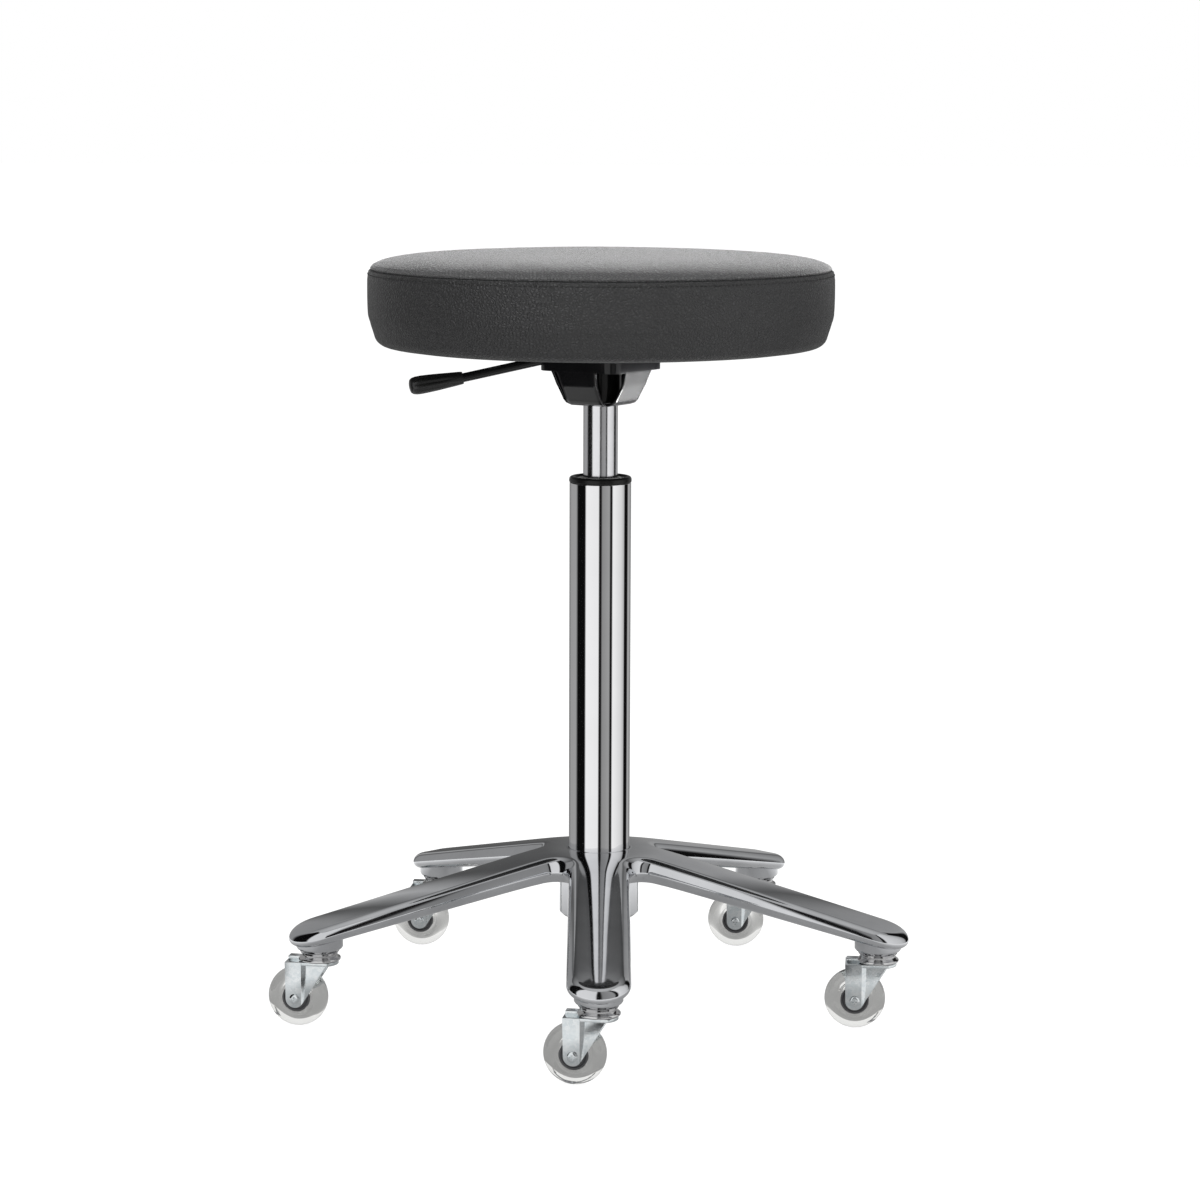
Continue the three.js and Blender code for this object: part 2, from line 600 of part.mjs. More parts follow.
function castor(index, fork) {
  const angle = rad(legAngle(index));
  const group = new THREE.Group();
  group.position.set(CASTOR_CIRCLE_R * Math.cos(angle), CASTOR_CIRCLE_R * Math.sin(angle), 0);
  group.rotation.z = rad(CASTOR_YAWS[index]);
  stool.add(group);
  const number = index + 1;
  const rivetBottom = CROWN_Z[0] - 3.2;
  piece(`castor_stem_${number}`, turned([
    [0, rivetBottom],
    [6.2, rivetBottom],
    [7.2, CROWN_Z[0] - GAP],
    [STEM_R, CROWN_Z[0] - GAP],
    [STEM_R, BOSS_BOTTOM_Z - 1.4],
    [10, BOSS_BOTTOM_Z - 1.4],
    [10, BOSS_BOTTOM_Z - GAP],
    [STEM_R, BOSS_BOTTOM_Z - GAP],
    [STEM_R, STEM_TOP_Z],
    [0, STEM_TOP_Z],
  ], 10), brightSteel, group);
  const raceTop = BOSS_BOTTOM_Z - 1.4 - GAP;
  const raceBottom = CROWN_Z[1] + GAP;
  piece(`castor_race_${number}`, turned([
    [STEM_BORE_R, raceBottom],
    [14.5, raceBottom],
    [17, raceBottom + 1.2],
    [17, raceBottom + 2.6],
    [14.2, raceBottom + 4.6],
    [15.8, raceTop],
    [STEM_BORE_R, raceTop],
  ], 16), brightSteel, group);
  piece(`castor_fork_${number}`, fork.clone(), zinc, group);
  const wheel = new THREE.Group();
  wheel.position.set(-TRAIL, 0, WHEEL_R);
  wheel.rotation.x = Math.PI / 2;
  group.add(wheel);
  const headIn = FORK_HALF_WIDTH + GAP;
  piece(`castor_axle_${number}`, turned([
    [0, -headIn - 2],
    [3.6, -headIn - 2],
    [4.2, -headIn],
    [AXLE_R, -headIn],
    [AXLE_R, headIn],
    [4.2, headIn],
    [3.6, headIn + 2],
    [0, headIn + 2],
  ], 8), zinc, wheel);
  const bore = AXLE_R + 0.35;
  piece(`castor_hub_${number}`, turned([
    [bore, -10],
    [5.5, -10],
    [6.5, -8.2],
    [WHEEL_HUB_R, -8.2],
    [WHEEL_HUB_R, 8.2],
    [6.5, 8.2],
    [5.5, 10],
    [bore, 10],
  ], 12), bearingGrey, wheel);
  const flats = 24;               // one flat of the tread lies on the floor
  const treadR = WHEEL_R / Math.cos(Math.PI / flats);
  const tyre = turned([
    [WHEEL_HUB_R + 0.9, -TYRE_HALF_WIDTH + 1],
    [20.5, -TYRE_HALF_WIDTH],
    [treadR, -4],
    [treadR, 4],
    [20.5, TYRE_HALF_WIDTH],
    [WHEEL_HUB_R + 0.9, TYRE_HALF_WIDTH - 1],
  ], flats).rotateZ(Math.PI / flats);
  piece(`castor_tyre_${number}`, tyre, clearTyre, wheel);
}

// ---------------------------------------------------------------- assembly
starBase();
pistonRod(column());
gasCylinder();
mechanismHousing();
mountingPlate();
mountingScrews();
coneSocket();
lever();
seat();
const forkGeometry = castorFork();
for (let i = 0; i < LEGS; i += 1) castor(i, forkGeometry);

export default stool;
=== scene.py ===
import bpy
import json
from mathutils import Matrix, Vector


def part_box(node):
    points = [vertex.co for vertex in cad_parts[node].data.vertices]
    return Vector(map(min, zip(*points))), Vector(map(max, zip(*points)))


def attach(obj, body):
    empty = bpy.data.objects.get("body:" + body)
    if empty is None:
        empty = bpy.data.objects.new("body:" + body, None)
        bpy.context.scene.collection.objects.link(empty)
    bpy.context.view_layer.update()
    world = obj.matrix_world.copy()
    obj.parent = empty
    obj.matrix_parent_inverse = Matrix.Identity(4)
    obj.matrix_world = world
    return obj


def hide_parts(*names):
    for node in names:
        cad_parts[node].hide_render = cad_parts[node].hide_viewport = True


bl_info = {
    "name": "Swivel Stool",
    "version": (1, 0, 0),
    "blender": (4, 5, 0),
    "location": "3D View > Sidebar > Stool",
    "description": "Builds the visible pieces of a height-adjustable swivel stool around its frame",
    "category": "Add Mesh",
}

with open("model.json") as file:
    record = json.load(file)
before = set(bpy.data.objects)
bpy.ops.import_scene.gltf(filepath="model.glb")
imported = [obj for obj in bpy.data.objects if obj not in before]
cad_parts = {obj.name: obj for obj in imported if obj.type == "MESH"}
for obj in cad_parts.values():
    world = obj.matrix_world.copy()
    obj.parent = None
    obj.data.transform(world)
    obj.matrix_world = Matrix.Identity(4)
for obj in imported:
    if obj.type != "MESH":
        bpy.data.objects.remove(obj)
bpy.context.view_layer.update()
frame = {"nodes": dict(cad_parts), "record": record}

import json
import math

import bmesh
import bpy
from bpy.props import FloatProperty, FloatVectorProperty, IntProperty, PointerProperty
from mathutils import Matrix, Vector, noise

MM = 0.001
LEGS = 5
FULL_TURN = 2 * math.pi
FRONT = -math.pi / 2                     # the first leg points to -Y
SHEET = 2.2 * MM                         # pressed steel of the mechanism


# ---------------------------------------------------------------- places taken from the frame
def round_size(node):
    """Radius, lowest and highest height of a round node on the column's axis."""
    low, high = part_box(node)
    return max(high.x, high.y), low.z, high.z


def middle(node):
    low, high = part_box(node)
    return (low + high) / 2


HUB_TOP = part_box("star_base")[1].z
BOSS_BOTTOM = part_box("star_base")[0].z
CASTOR_CIRCLE = middle("castor_stem_1").xy.length
LEG_HALF = -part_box("star_base")[0].y - CASTOR_CIRCLE
TUBE_R, TUBE_BOTTOM, TUBE_TOP = round_size("column_tube")
PISTON_R, PISTON_BOTTOM, PISTON_TOP = round_size("gas_cylinder")
COLLAR_R, COLLAR_BOTTOM, COLLAR_TOP = round_size("column_collar")
SEAT_R, SEAT_BOTTOM, SEAM_Z = round_size("cover_side")
SEAT_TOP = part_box("cover_top")[1].z
PLATE_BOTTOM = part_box("mechanism_housing")[1].z + 0.3 * MM     # the plate rests on the housing
WHEEL_R = middle("castor_tyre_1").z
LEVER_AZIMUTH = math.atan2(middle("lever_grip").y, middle("lever_grip").x)
HOUSING_TURN = LEVER_AZIMUTH - math.radians(225)     # the lever leaves by a corner of the housing


# ---------------------------------------------------------------- sizes and colours a user would change
class BaseSizes(bpy.types.PropertyGroup):
    roll: FloatProperty(
        name="Side roll", description="How far the leg's rounded side stands out from its flat top",
        default=8 * MM, unit="LENGTH")
    crown: FloatProperty(
        name="Crown", description="How far the leg's top rises from its edges to its middle",
        default=1 * MM, unit="LENGTH")
    root_thickness: FloatProperty(
        name="Root thickness", description="Depth of a leg where it leaves the hub",
        default=21.5 * MM, unit="LENGTH")
    tip_thickness: FloatProperty(
        name="Tip thickness", description="Depth of a leg over its castor",
        default=15.5 * MM, unit="LENGTH")
    tip_top: FloatProperty(
        name="Tip height", description="Height of a leg's top face over its castor",
        default=87 * MM, unit="LENGTH")
    knee: FloatProperty(
        name="Knee", description="Distance from the column at which the level top turns into the legs' fall",
        default=48 * MM, unit="LENGTH")
    crotch: FloatProperty(
        name="Crotch radius", description="Radius of the fillet between two legs, seen from above",
        default=14 * MM, unit="LENGTH")
    hub_radius: FloatProperty(
        name="Hub radius", description="Radius of the hub's lower cylinder",
        default=32.5 * MM, unit="LENGTH")
    hub_bottom: FloatProperty(
        name="Hub bottom", description="Height of the hub's underside",
        default=76.5 * MM, unit="LENGTH")
    neck: FloatProperty(
        name="Neck radius", description="Radius of the hub's level ring round the column",
        default=26.8 * MM, unit="LENGTH")
    boss_radius: FloatProperty(
        name="Boss radius", description="Radius of the turned boss that a castor plugs into",
        default=18.8 * MM, unit="LENGTH")


class SeatSizes(bpy.types.PropertyGroup):
    leather: FloatProperty(
        name="Leather", description="Thickness of the cover", default=1.4 * MM, unit="LENGTH")
    seam_inset: FloatProperty(
        name="Seam inset", description="How far the seam lies inside the seat's widest circle",
        default=2.5 * MM, unit="LENGTH")
    stitch_drop: FloatProperty(
        name="Stitch drop", description="Distance of the top stitching below the seam",
        default=3.6 * MM, unit="LENGTH")
    stitch_pitch: FloatProperty(
        name="Stitch pitch", description="Length of one stitch with its gap",
        default=4 * MM, unit="LENGTH")
    staples: IntProperty(
        name="Staples", description="Staples that hold the cover under the board", default=64)
    # Painted sheen: the top panel's colour is set four times lighter than the side band's, to stand in for
    # the sheen that light gives the top.
    top_colour_with_painted_sheen: FloatVectorProperty(
        name="Top leather", description="Colour of the top panel", subtype="COLOR",
        default=(0.06, 0.06, 0.061), size=3, min=0, max=1)
    side_colour: FloatVectorProperty(
        name="Side leather", description="Colour of the side band", subtype="COLOR",
        default=(0.015, 0.015, 0.0155), size=3, min=0, max=1)


class CastorSizes(bpy.types.PropertyGroup):
    hub_radius: FloatProperty(
        name="Wheel hub", description="Radius of the wheel's dark bearing hub",
        default=11.4 * MM, unit="LENGTH")
    fork_half: FloatProperty(
        name="Fork half width", description="Distance from the wheel's middle to the fork's outside",
        default=12.5 * MM, unit="LENGTH")
    fork_sheet: FloatProperty(
        name="Fork sheet", description="Thickness of the fork's pressed steel",
        default=2 * MM, unit="LENGTH")
    fork_jog: FloatProperty(
        name="Fork jog", description="How far the leading half of a fork's side steps in",
        default=2.4 * MM, unit="LENGTH")
    tyre_colour: FloatVectorProperty(
        name="Tyre", description="Tint of the clear tyre", subtype="COLOR",
        default=(0.86, 0.86, 0.845), size=3, min=0, max=1)


class StageSizes(bpy.types.PropertyGroup):
    camera_distance: FloatProperty(
        name="Camera distance", description="Level distance from the column to the camera",
        default=2.754, unit="LENGTH")
    camera_height: FloatProperty(
        name="Camera height", description="Height of the camera over the floor",
        default=0.7519, unit="LENGTH")
    camera_pitch: FloatProperty(
        name="Camera pitch", description="How far the camera looks down from level",
        default=math.radians(8.563), subtype="ANGLE")
    camera_roll: FloatProperty(
        name="Camera roll", description="How far the camera leans to its left",
        default=math.radians(0.2), subtype="ANGLE")
    lens: FloatProperty(
        name="Lens", description="Focal length in millimetres on a 36 mm frame", default=102.53)
    tent_height: FloatProperty(
        name="Tent height", description="Height of the reflector ring's front half",
        default=1.1, unit="LENGTH")
    tent_radius: FloatProperty(
        name="Tent radius", description="Distance of the reflector ring from the column",
        default=0.55, unit="LENGTH")


# ---------------------------------------------------------------- mesh helpers
def turned(outline, segments=72, closed=True):
    """A bmesh turned about Z from an outline of (radius, height) points."""
    bm = bmesh.new()
    verts = [bm.verts.new((radius, 0, height)) for radius, height in outline]
    edges = [bm.edges.new(pair) for pair in zip(verts, verts[1:])]
    if closed:
        edges.append(bm.edges.new((verts[-1], verts[0])))
    bmesh.ops.spin(
        bm, geom=verts + edges, cent=(0, 0, 0), axis=(0, 0, 1), angle=FULL_TURN,
        steps=segments, use_merge=True, use_duplicate=False)
    bmesh.ops.remove_doubles(bm, verts=bm.verts, dist=1e-7)
    return bm


def join(bm, part, place=None):
    """Adds the bmesh part to bm, moved to its place, and frees it."""
    if place is not None:
        bmesh.ops.transform(part, matrix=place, verts=part.verts)
    carrier = bpy.data.meshes.new("part")
    part.to_mesh(carrier)
    part.free()
    bm.from_mesh(carrier)
    bpy.data.meshes.remove(carrier)


def arc(centre_r, centre_z, radius, first, last, steps=6):
    """Points on an arc in the (radius, height) plane, its angles in degrees."""
    points = []
    for k in range(steps + 1):
        angle = math.radians(first + (last - first) * k / steps)
        points.append((centre_r + radius * math.cos(angle), centre_z + radius * math.sin(angle)))
    return points


def soften(bm, width, segments=3, angle=28):
    """Rounds every edge of bm that is sharper than angle."""
    limit = math.radians(angle)
    bm.normal_update()
    edges = [edge for edge in bm.edges if edge.is_manifold and edge.calc_face_angle(0) > limit]
    bmesh.ops.bevel(
        bm, geom=edges, offset=width, offset_type="OFFSET", segments=segments, profile=0.5,
        affect="EDGES", material=-1, clamp_overlap=True)


def outward(bm):
    bmesh.ops.recalc_face_normals(bm, faces=bm.faces)


def thicken(bm, thickness, outwards):
    """Turns a sheet's faces the way that outwards(face) is positive, and thickens it on the inside."""
    if sum(outwards(face) for face in bm.faces) < 0:
        bmesh.ops.reverse_faces(bm, faces=bm.faces)
    bmesh.ops.solidify(bm, geom=bm.faces[:], thickness=thickness)


def raised_verts(geometry):
    return [item for item in geometry if isinstance(item, bmesh.types.BMVert)]


def piece_from(bm, name, body, slot, stands_for=(), crease=32, material=None, place=None):
    """Makes bm an object of the stool that moves with body and has the finish of slot, or material."""
    if place is not None:
        bmesh.ops.transform(bm, matrix=place, verts=bm.verts)
    outward(bm)
    mesh = bpy.data.meshes.new(name)
    bm.to_mesh(mesh)
    bm.free()
    mesh.shade_smooth()
    mesh.set_sharp_from_angle(angle=math.radians(crease))
    mesh.materials.append(finish(material or slot))
    piece = bpy.data.objects.new(name, mesh)
    bpy.context.scene.collection.objects.link(piece)
    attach(piece, body)
    if stands_for:
        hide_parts(*stands_for)
    return piece


def held(outline, gap, closed):
    """The outline with extra points near its corners, which keep its long walls straight in reflections."""
    points = []
    ends = outline[1:] + outline[:1] if closed else outline[1:]
    for (r0, z0), (r1, z1) in zip(outline, ends):
        points.append((r0, z0))
        length = math.hypot(r1 - r0, z1 - z0)
        if length > 4 * gap:
            share = gap / length
            points += [(r0 + (r1 - r0) * t, z0 + (z1 - z0) * t) for t in (share, 1 - share)]
    return points if closed else points + outline[-1:]


def turned_piece(name, outline, body, slot, stands_for=(), edge=0.4 * MM, segments=72, closed=True):
    bm = turned(held(outline, 2.5 * edge, closed) if edge else outline, segments, closed)
    outward(bm)
    if edge:
        soften(bm, edge)
    return piece_from(bm, name, body, slot, stands_for)


def rounded_square(bm, half, radius, height, steps=10):
    """Edges of a square with round corners, level, centred on the column's axis."""
    inner = half - radius
    points = []
    for k, (x, y) in enumerate(((1, 1), (-1, 1), (-1, -1), (1, -1))):
        points += [(x * inner + px, y * inner + py)
                   for px, py in arc(0, 0, radius, k * 90, k * 90 + 90, steps)]
    verts = [bm.verts.new((x, y, height)) for x, y in points]
    return [bm.edges.new((a, b)) for a, b in zip(verts, verts[1:] + verts[:1])]


def raise_edges(bm, edges, height):
    """Draws a wall from the edges, straight up or down, and returns its geometry."""
    wall = bmesh.ops.extrude_edge_only(bm, edges=edges)["geom"]
    bmesh.ops.translate(bm, verts=raised_verts(wall), vec=(0, 0, height))
    return wall


def raise_faces(bm, faces, height):
    """Gives flat faces a height."""
    raised = bmesh.ops.extrude_face_region(bm, geom=faces)["geom"]
    bmesh.ops.translate(bm, verts=raised_verts(raised), vec=(0, 0, height))


def smooth_step(low, high, value):
    t = min(1, max(0, (value - low) / (high - low)))
    return t * t * (3 - 2 * t)


# ---------------------------------------------------------------- shader helpers
def add(tree, kind, inputs=None, **settings):
    """Adds a node; inputs are values or the sockets that feed them."""
    node = tree.nodes.new(kind)
    for name, value in settings.items():
        setattr(node, name, value)
    for name, value in (inputs or {}).items():
        if isinstance(value, bpy.types.NodeSocket):
            tree.links.new(value, node.inputs[name])
        else:
            node.inputs[name].default_value = value
    return node


def new_group(name, inputs, outputs):
    tree = bpy.data.node_groups.new(name, "ShaderNodeTree")
    for label, kind, value in inputs:
        socket = tree.interface.new_socket(label, in_out="INPUT", socket_type=kind)
        socket.default_value = value
    for label, kind in outputs:
        tree.interface.new_socket(label, in_out="OUTPUT", socket_type=kind)
    return tree, add(tree, "NodeGroupInput").outputs, add(tree, "NodeGroupOutput").inputs


def object_place(tree, stretch=(1, 1, 1)):
    place = add(tree, "ShaderNodeTexCoord").outputs["Object"]
    mapping = add(tree, "ShaderNodeMapping", {"Vector": place, "Scale": stretch})
    return mapping.outputs["Vector"]


def map_range(tree, value, low, high, from_low=0.0, from_high=1.0):
    node = add(tree, "ShaderNodeMapRange", {
        "Value": value, "From Min": from_low, "From Max": from_high, "To Min": low, "To Max": high})
    return node.outputs["Result"]


def math_node(tree, operation, first, second=0.0, third=0.0):
    return add(tree, "ShaderNodeMath", {0: first, 1: second, 2: third}, operation=operation).outputs[0]


def wear_group():
    """Handling marks: a slow change of gloss, fine specks of dust and hairline scratches."""
    if "Handling wear" in bpy.data.node_groups:
        return bpy.data.node_groups["Handling wear"]
    tree, given, out = new_group(
        "Handling wear",
        (("Roughness", "NodeSocketFloat", 0.2), ("Variation", "NodeSocketFloat", 0.05),
         ("Patch Scale", "NodeSocketFloat", 30.0), ("Scratches", "NodeSocketFloat", 0.2)),
        (("Roughness", "NodeSocketFloat"), ("Height", "NodeSocketFloat"), ("Patches", "NodeSocketFloat")))
    place = object_place(tree)
    patches = add(tree, "ShaderNodeTexNoise", {
        "Vector": place, "Scale": given["Patch Scale"], "Detail": 4.0, "Roughness": 0.6}).outputs["Fac"]
    fine = add(tree, "ShaderNodeTexNoise", {
        "Vector": object_place(tree, (900, 900, 60)), "Scale": 1.0, "Detail": 2.0}).outputs["Fac"]
    across = add(tree, "ShaderNodeTexNoise", {
        "Vector": object_place(tree, (50, 700, 700)), "Scale": 1.0, "Detail": 2.0}).outputs["Fac"]
    scratches = math_node(tree, "MULTIPLY", math_node(tree, "ADD", fine, across), given["Scratches"])
    swing = math_node(tree, "MULTIPLY", math_node(tree, "SUBTRACT", patches, 0.5), given["Variation"])
    rough = math_node(tree, "ADD", given["Roughness"], math_node(tree, "MULTIPLY", swing, 2.0))
    tree.links.new(rough, out["Roughness"])
    tree.links.new(scratches, out["Height"])
    tree.links.new(patches, out["Patches"])
    return tree


def leather_group():
    """Pebble grain with fine pores and slow creases."""
    if "Leather grain" in bpy.data.node_groups:
        return bpy.data.node_groups["Leather grain"]
    tree, given, out = new_group(
        "Leather grain",
        (("Grain Scale", "NodeSocketFloat", 380.0), ("Crease Scale", "NodeSocketFloat", 135.0),
         ("Crease Depth", "NodeSocketFloat", 0.35)),
        (("Height", "NodeSocketFloat"), ("Grain", "NodeSocketFloat"), ("Patches", "NodeSocketFloat")))
    place = object_place(tree)
    stir = add(tree, "ShaderNodeTexNoise", {"Vector": place, "Scale": 240.0, "Detail": 2.0})
    bent = add(tree, "ShaderNodeVectorMath", {0: stir.outputs["Color"]}, operation="SCALE")
    bent.inputs["Scale"].default_value = 0.0018
    moved = add(tree, "ShaderNodeVectorMath", {0: place, 1: bent.outputs[0]}, operation="ADD")
    pebbles = add(tree, "ShaderNodeTexVoronoi", {
        "Vector": moved.outputs[0], "Scale": given["Grain Scale"], "Randomness": 1.0},
        feature="DISTANCE_TO_EDGE").outputs["Distance"]
    rounded = map_range(tree, pebbles, 0.0, 1.0, 0.0, 0.32)
    pores = add(tree, "ShaderNodeTexNoise", {
        "Vector": place, "Scale": 2600.0, "Detail": 2.0}).outputs["Fac"]
    creases = add(tree, "ShaderNodeTexNoise", {
        "Vector": moved.outputs[0], "Scale": given["Crease Scale"], "Detail": 5.0, "Roughness": 0.62,
        "Distortion": 0.6}).outputs["Fac"]
    crease = math_node(tree, "MULTIPLY", creases, given["Crease Depth"])
    grain = math_node(tree, "MULTIPLY_ADD", pores, 0.25, math_node(tree, "MULTIPLY", rounded, 0.75))
    tree.links.new(math_node(tree, "ADD", grain, crease), out["Height"])
    tree.links.new(grain, out["Grain"])
    tree.links.new(creases, out["Patches"])
    return tree


def moulding_group():
    """Fine spark texture of a moulded or coated surface."""
    if "Moulded texture" in bpy.data.node_groups:
        return bpy.data.node_groups["Moulded texture"]
    tree, given, out = new_group(
        "Moulded texture",
        (("Texture Scale", "NodeSocketFloat", 1800.0), ("Roughness", "NodeSocketFloat", 0.35),
         ("Variation", "NodeSocketFloat", 0.08)),
        (("Height", "NodeSocketFloat"), ("Roughness", "NodeSocketFloat"), ("Patches", "NodeSocketFloat")))
    place = object_place(tree)
    spark = add(tree, "ShaderNodeTexNoise", {
        "Vector": place, "Scale": given["Texture Scale"], "Detail": 3.0}).outputs["Fac"]
    patches = add(tree, "ShaderNodeTexNoise", {
        "Vector": place, "Scale": 45.0, "Detail": 4.0}).outputs["Fac"]
    swing = math_node(tree, "MULTIPLY", math_node(tree, "SUBTRACT", patches, 0.5), given["Variation"])
    tree.links.new(spark, out["Height"])
    tree.links.new(math_node(tree, "ADD", given["Roughness"], swing), out["Roughness"])
    tree.links.new(patches, out["Patches"])
    return tree


def new_material(name, **constants):
    """A Principled material whose named sockets hold constants."""
    material = bpy.data.materials.new(name + "_finish")
    material.use_nodes = True
    tree = material.node_tree
    shader = tree.nodes["Principled BSDF"]
    for label, value in constants.items():
        shader.inputs[label.replace("_", " ")].default_value = value
    return material, tree, shader


def use_group(tree, group, **values):
    node = add(tree, "ShaderNodeGroup", node_tree=group)
    for label, value in values.items():
        node.inputs[label.replace("_", " ")].default_value = value
    return node.outputs


def bump(tree, shader, height, distance):
    node = add(tree, "ShaderNodeBump", {"Height": height, "Distance": distance, "Strength": 1.0})
    tree.links.new(node.outputs["Normal"], shader.inputs["Normal"])


def level_ramp(tree, mask, levels):
    """Grey levels by a mask; levels are (position, level) in rising order from 0 to 1."""
    ramp = add(tree, "ShaderNodeValToRGB", {"Fac": mask})
    stops = ramp.color_ramp.elements
    stops[0].color = (levels[0][1],) * 3 + (1,)
    stops[1].color = (levels[-1][1],) * 3 + (1,)
    for position, level in levels[1:-1]:
        stops.new(position).color = (level, level, level, 1)
    return ramp.outputs["Color"]


def tint(tree, shader, mask, dark, light, low=0.3, high=0.7):
    """Base colour between two close shades, by a mask."""
    ramp = add(tree, "ShaderNodeValToRGB", {"Fac": mask})
    ramp.color_ramp.elements[0].position = low
    ramp.color_ramp.elements[1].position = high
    ramp.color_ramp.elements[0].color = (*dark, 1)
    ramp.color_ramp.elements[1].color = (*light, 1)
    tree.links.new(ramp.outputs["Color"], shader.inputs["Base Color"])


# ---------------------------------------------------------------- finishes
# Dark and light shade, roughness and its variation, patch scale, scratches, depth of the marks.
METALS = {
    "polished_aluminium": ((0.6, 0.61, 0.63), (0.7, 0.71, 0.73), 0.065, 0.03, 24.0, 0.3, 0.004 * MM),
    "chrome": ((0.86, 0.86, 0.87), (0.9, 0.9, 0.91), 0.035, 0.015, 18.0, 0.1, 0.0015 * MM),
    "chrome_piston": ((0.78, 0.78, 0.8), (0.84, 0.84, 0.86), 0.15, 0.03, 40.0, 0.4, 0.006 * MM),
    "steel": ((0.6, 0.6, 0.61), (0.7, 0.7, 0.7), 0.13, 0.05, 120.0, 0.6, 0.02 * MM),
}
# Dark and light shade, roughness and its variation, texture scale and depth, strength of the reflection.
COATINGS = {
    "black_steel": (
        (0.004, 0.004, 0.0045), (0.007, 0.007, 0.0075), 0.14, 0.05, 700.0, 0.01 * MM, 0.4),
    "black_plastic": ((0.004, 0.004, 0.004), (0.008, 0.008, 0.008), 0.3, 0.08, 1800.0, 0.02 * MM, 0.3),
    "grip_plastic": ((0.008, 0.008, 0.008), (0.014, 0.014, 0.014), 0.27, 0.06, 1500.0, 0.015 * MM, 0.5),
    "grey_plastic": ((0.36, 0.36, 0.35), (0.46, 0.46, 0.45), 0.45, 0.1, 1600.0, 0.03 * MM, 0.5),
    "bearing_grey": ((0.045, 0.045, 0.048), (0.07, 0.07, 0.073), 0.36, 0.08, 1400.0, 0.03 * MM, 0.5),
}


def worn_metal(name):
    dark, light, roughness, variation, patch_scale, scratches, depth = METALS[name]
    material, tree, shader = new_material(name, Metallic=1.0)
    wear = use_group(
        tree, wear_group(), Roughness=roughness, Variation=variation,
        Patch_Scale=patch_scale, Scratches=scratches)
    tint(tree, shader, wear["Patches"], dark, light)
    tree.links.new(wear["Roughness"], shader.inputs["Roughness"])
    bump(tree, shader, wear["Height"], depth)
    return material


def coated(name):
    dark, light, roughness, variation, texture, depth, gloss = COATINGS[name]
    material, tree, shader = new_material(name, Specular_IOR_Level=gloss)
    skin = use_group(
        tree, moulding_group(), Texture_Scale=texture, Roughness=roughness, Variation=variation)
    tint(tree, shader, skin["Patches"], dark, light)
    tree.links.new(skin["Roughness"], shader.inputs["Roughness"])
    bump(tree, shader, skin["Height"], depth)
    return material


def zinc():
    """Zinc plating with its faint spangle."""
    material, tree, shader = new_material("zinc", Metallic=1.0)
    wear = use_group(tree, wear_group(), Roughness=0.17, Variation=0.06, Patch_Scale=160.0, Scratches=0.5)
    spangle = add(tree, "ShaderNodeTexVoronoi", {"Vector": object_place(tree), "Scale": 420.0})
    flat = add(tree, "ShaderNodeSeparateColor", {"Color": spangle.outputs["Color"]}).outputs[0]
    patches = math_node(tree, "MULTIPLY", wear["Patches"], 0.6)
    mixed = math_node(tree, "MULTIPLY_ADD", flat, 0.4, patches)
    tint(tree, shader, mixed, (0.68, 0.73, 0.75), (0.79, 0.82, 0.83))
    tree.links.new(wear["Roughness"], shader.inputs["Roughness"])
    bump(tree, shader, wear["Height"], 0.03 * MM)
    return material


def clear_tyre():
    colour = bpy.context.scene.stool_castors.tyre_colour
    material, tree, shader = new_material("clear_tyre", Transmission_Weight=1.0, IOR=1.49)
    skin = use_group(tree, moulding_group(), Texture_Scale=260.0, Roughness=0.05, Variation=0.05)
    tint(tree, shader, skin["Patches"], [0.96 * part for part in colour], list(colour))
    tree.links.new(skin["Roughness"], shader.inputs["Roughness"])
    bump(tree, shader, skin["Height"], 0.01 * MM)
    return material


def leather(name, colour, crease_depth, depth, roughness):
    material, tree, shader = new_material(name, Sheen_Weight=0.02, Sheen_Roughness=0.5)
    grain = use_group(tree, leather_group(), Crease_Depth=crease_depth)
    tint(tree, shader, grain["Grain"], [0.72 * part for part in colour], [1.12 * part for part in colour],
         0.15, 0.75)
    rough = math_node(tree, "MULTIPLY_ADD", grain["Grain"], -0.12, roughness + 0.05)
    rough = math_node(tree, "MULTIPLY_ADD", grain["Patches"], 0.1, rough)
    tree.links.new(rough, shader.inputs["Roughness"])
    bump(tree, shader, grain["Height"], depth)
    return material


def leather_side():
    return leather("leather_side", bpy.context.scene.stool_seat.side_colour, 1.6, 0.6 * MM, 0.4)


def leather_top():
    # Painted sheen: the top panel gets a lighter base colour than the side band.
    return leather("leather_top", bpy.context.scene.stool_seat.top_colour_with_painted_sheen, 1.4, 0.9 * MM, 0.36)


def foam():
    material, tree, shader = new_material("foam")
    cells = add(tree, "ShaderNodeTexVoronoi", {
        "Vector": object_place(tree), "Scale": 900.0}).outputs["Distance"]
    tint(tree, shader, cells, (0.55, 0.5, 0.36), (0.82, 0.78, 0.64), 0.1, 0.8)
    tree.links.new(map_range(tree, cells, 0.95, 0.8), shader.inputs["Roughness"])
    bump(tree, shader, cells, 0.6 * MM)
    return material


def plywood():
    material, tree, shader = new_material("plywood")
    plies = add(tree, "ShaderNodeTexWave", {
        "Vector": object_place(tree), "Scale": 110.0, "Distortion": 0.6, "Detail": 2.0},
        bands_direction="Z").outputs["Fac"]
    fibre = add(tree, "ShaderNodeTexNoise", {
        "Vector": object_place(tree, (30, 900, 900)), "Scale": 1.0, "Detail": 4.0}).outputs["Fac"]
    mixed = math_node(tree, "MULTIPLY_ADD", plies, 0.4, math_node(tree, "MULTIPLY", fibre, 0.6))
    tint(tree, shader, mixed, (0.32, 0.18, 0.08), (0.62, 0.43, 0.24), 0.2, 0.8)
    tree.links.new(map_range(tree, fibre, 0.55, 0.8), shader.inputs["Roughness"])
    bump(tree, shader, fibre, 0.15 * MM)
    return material


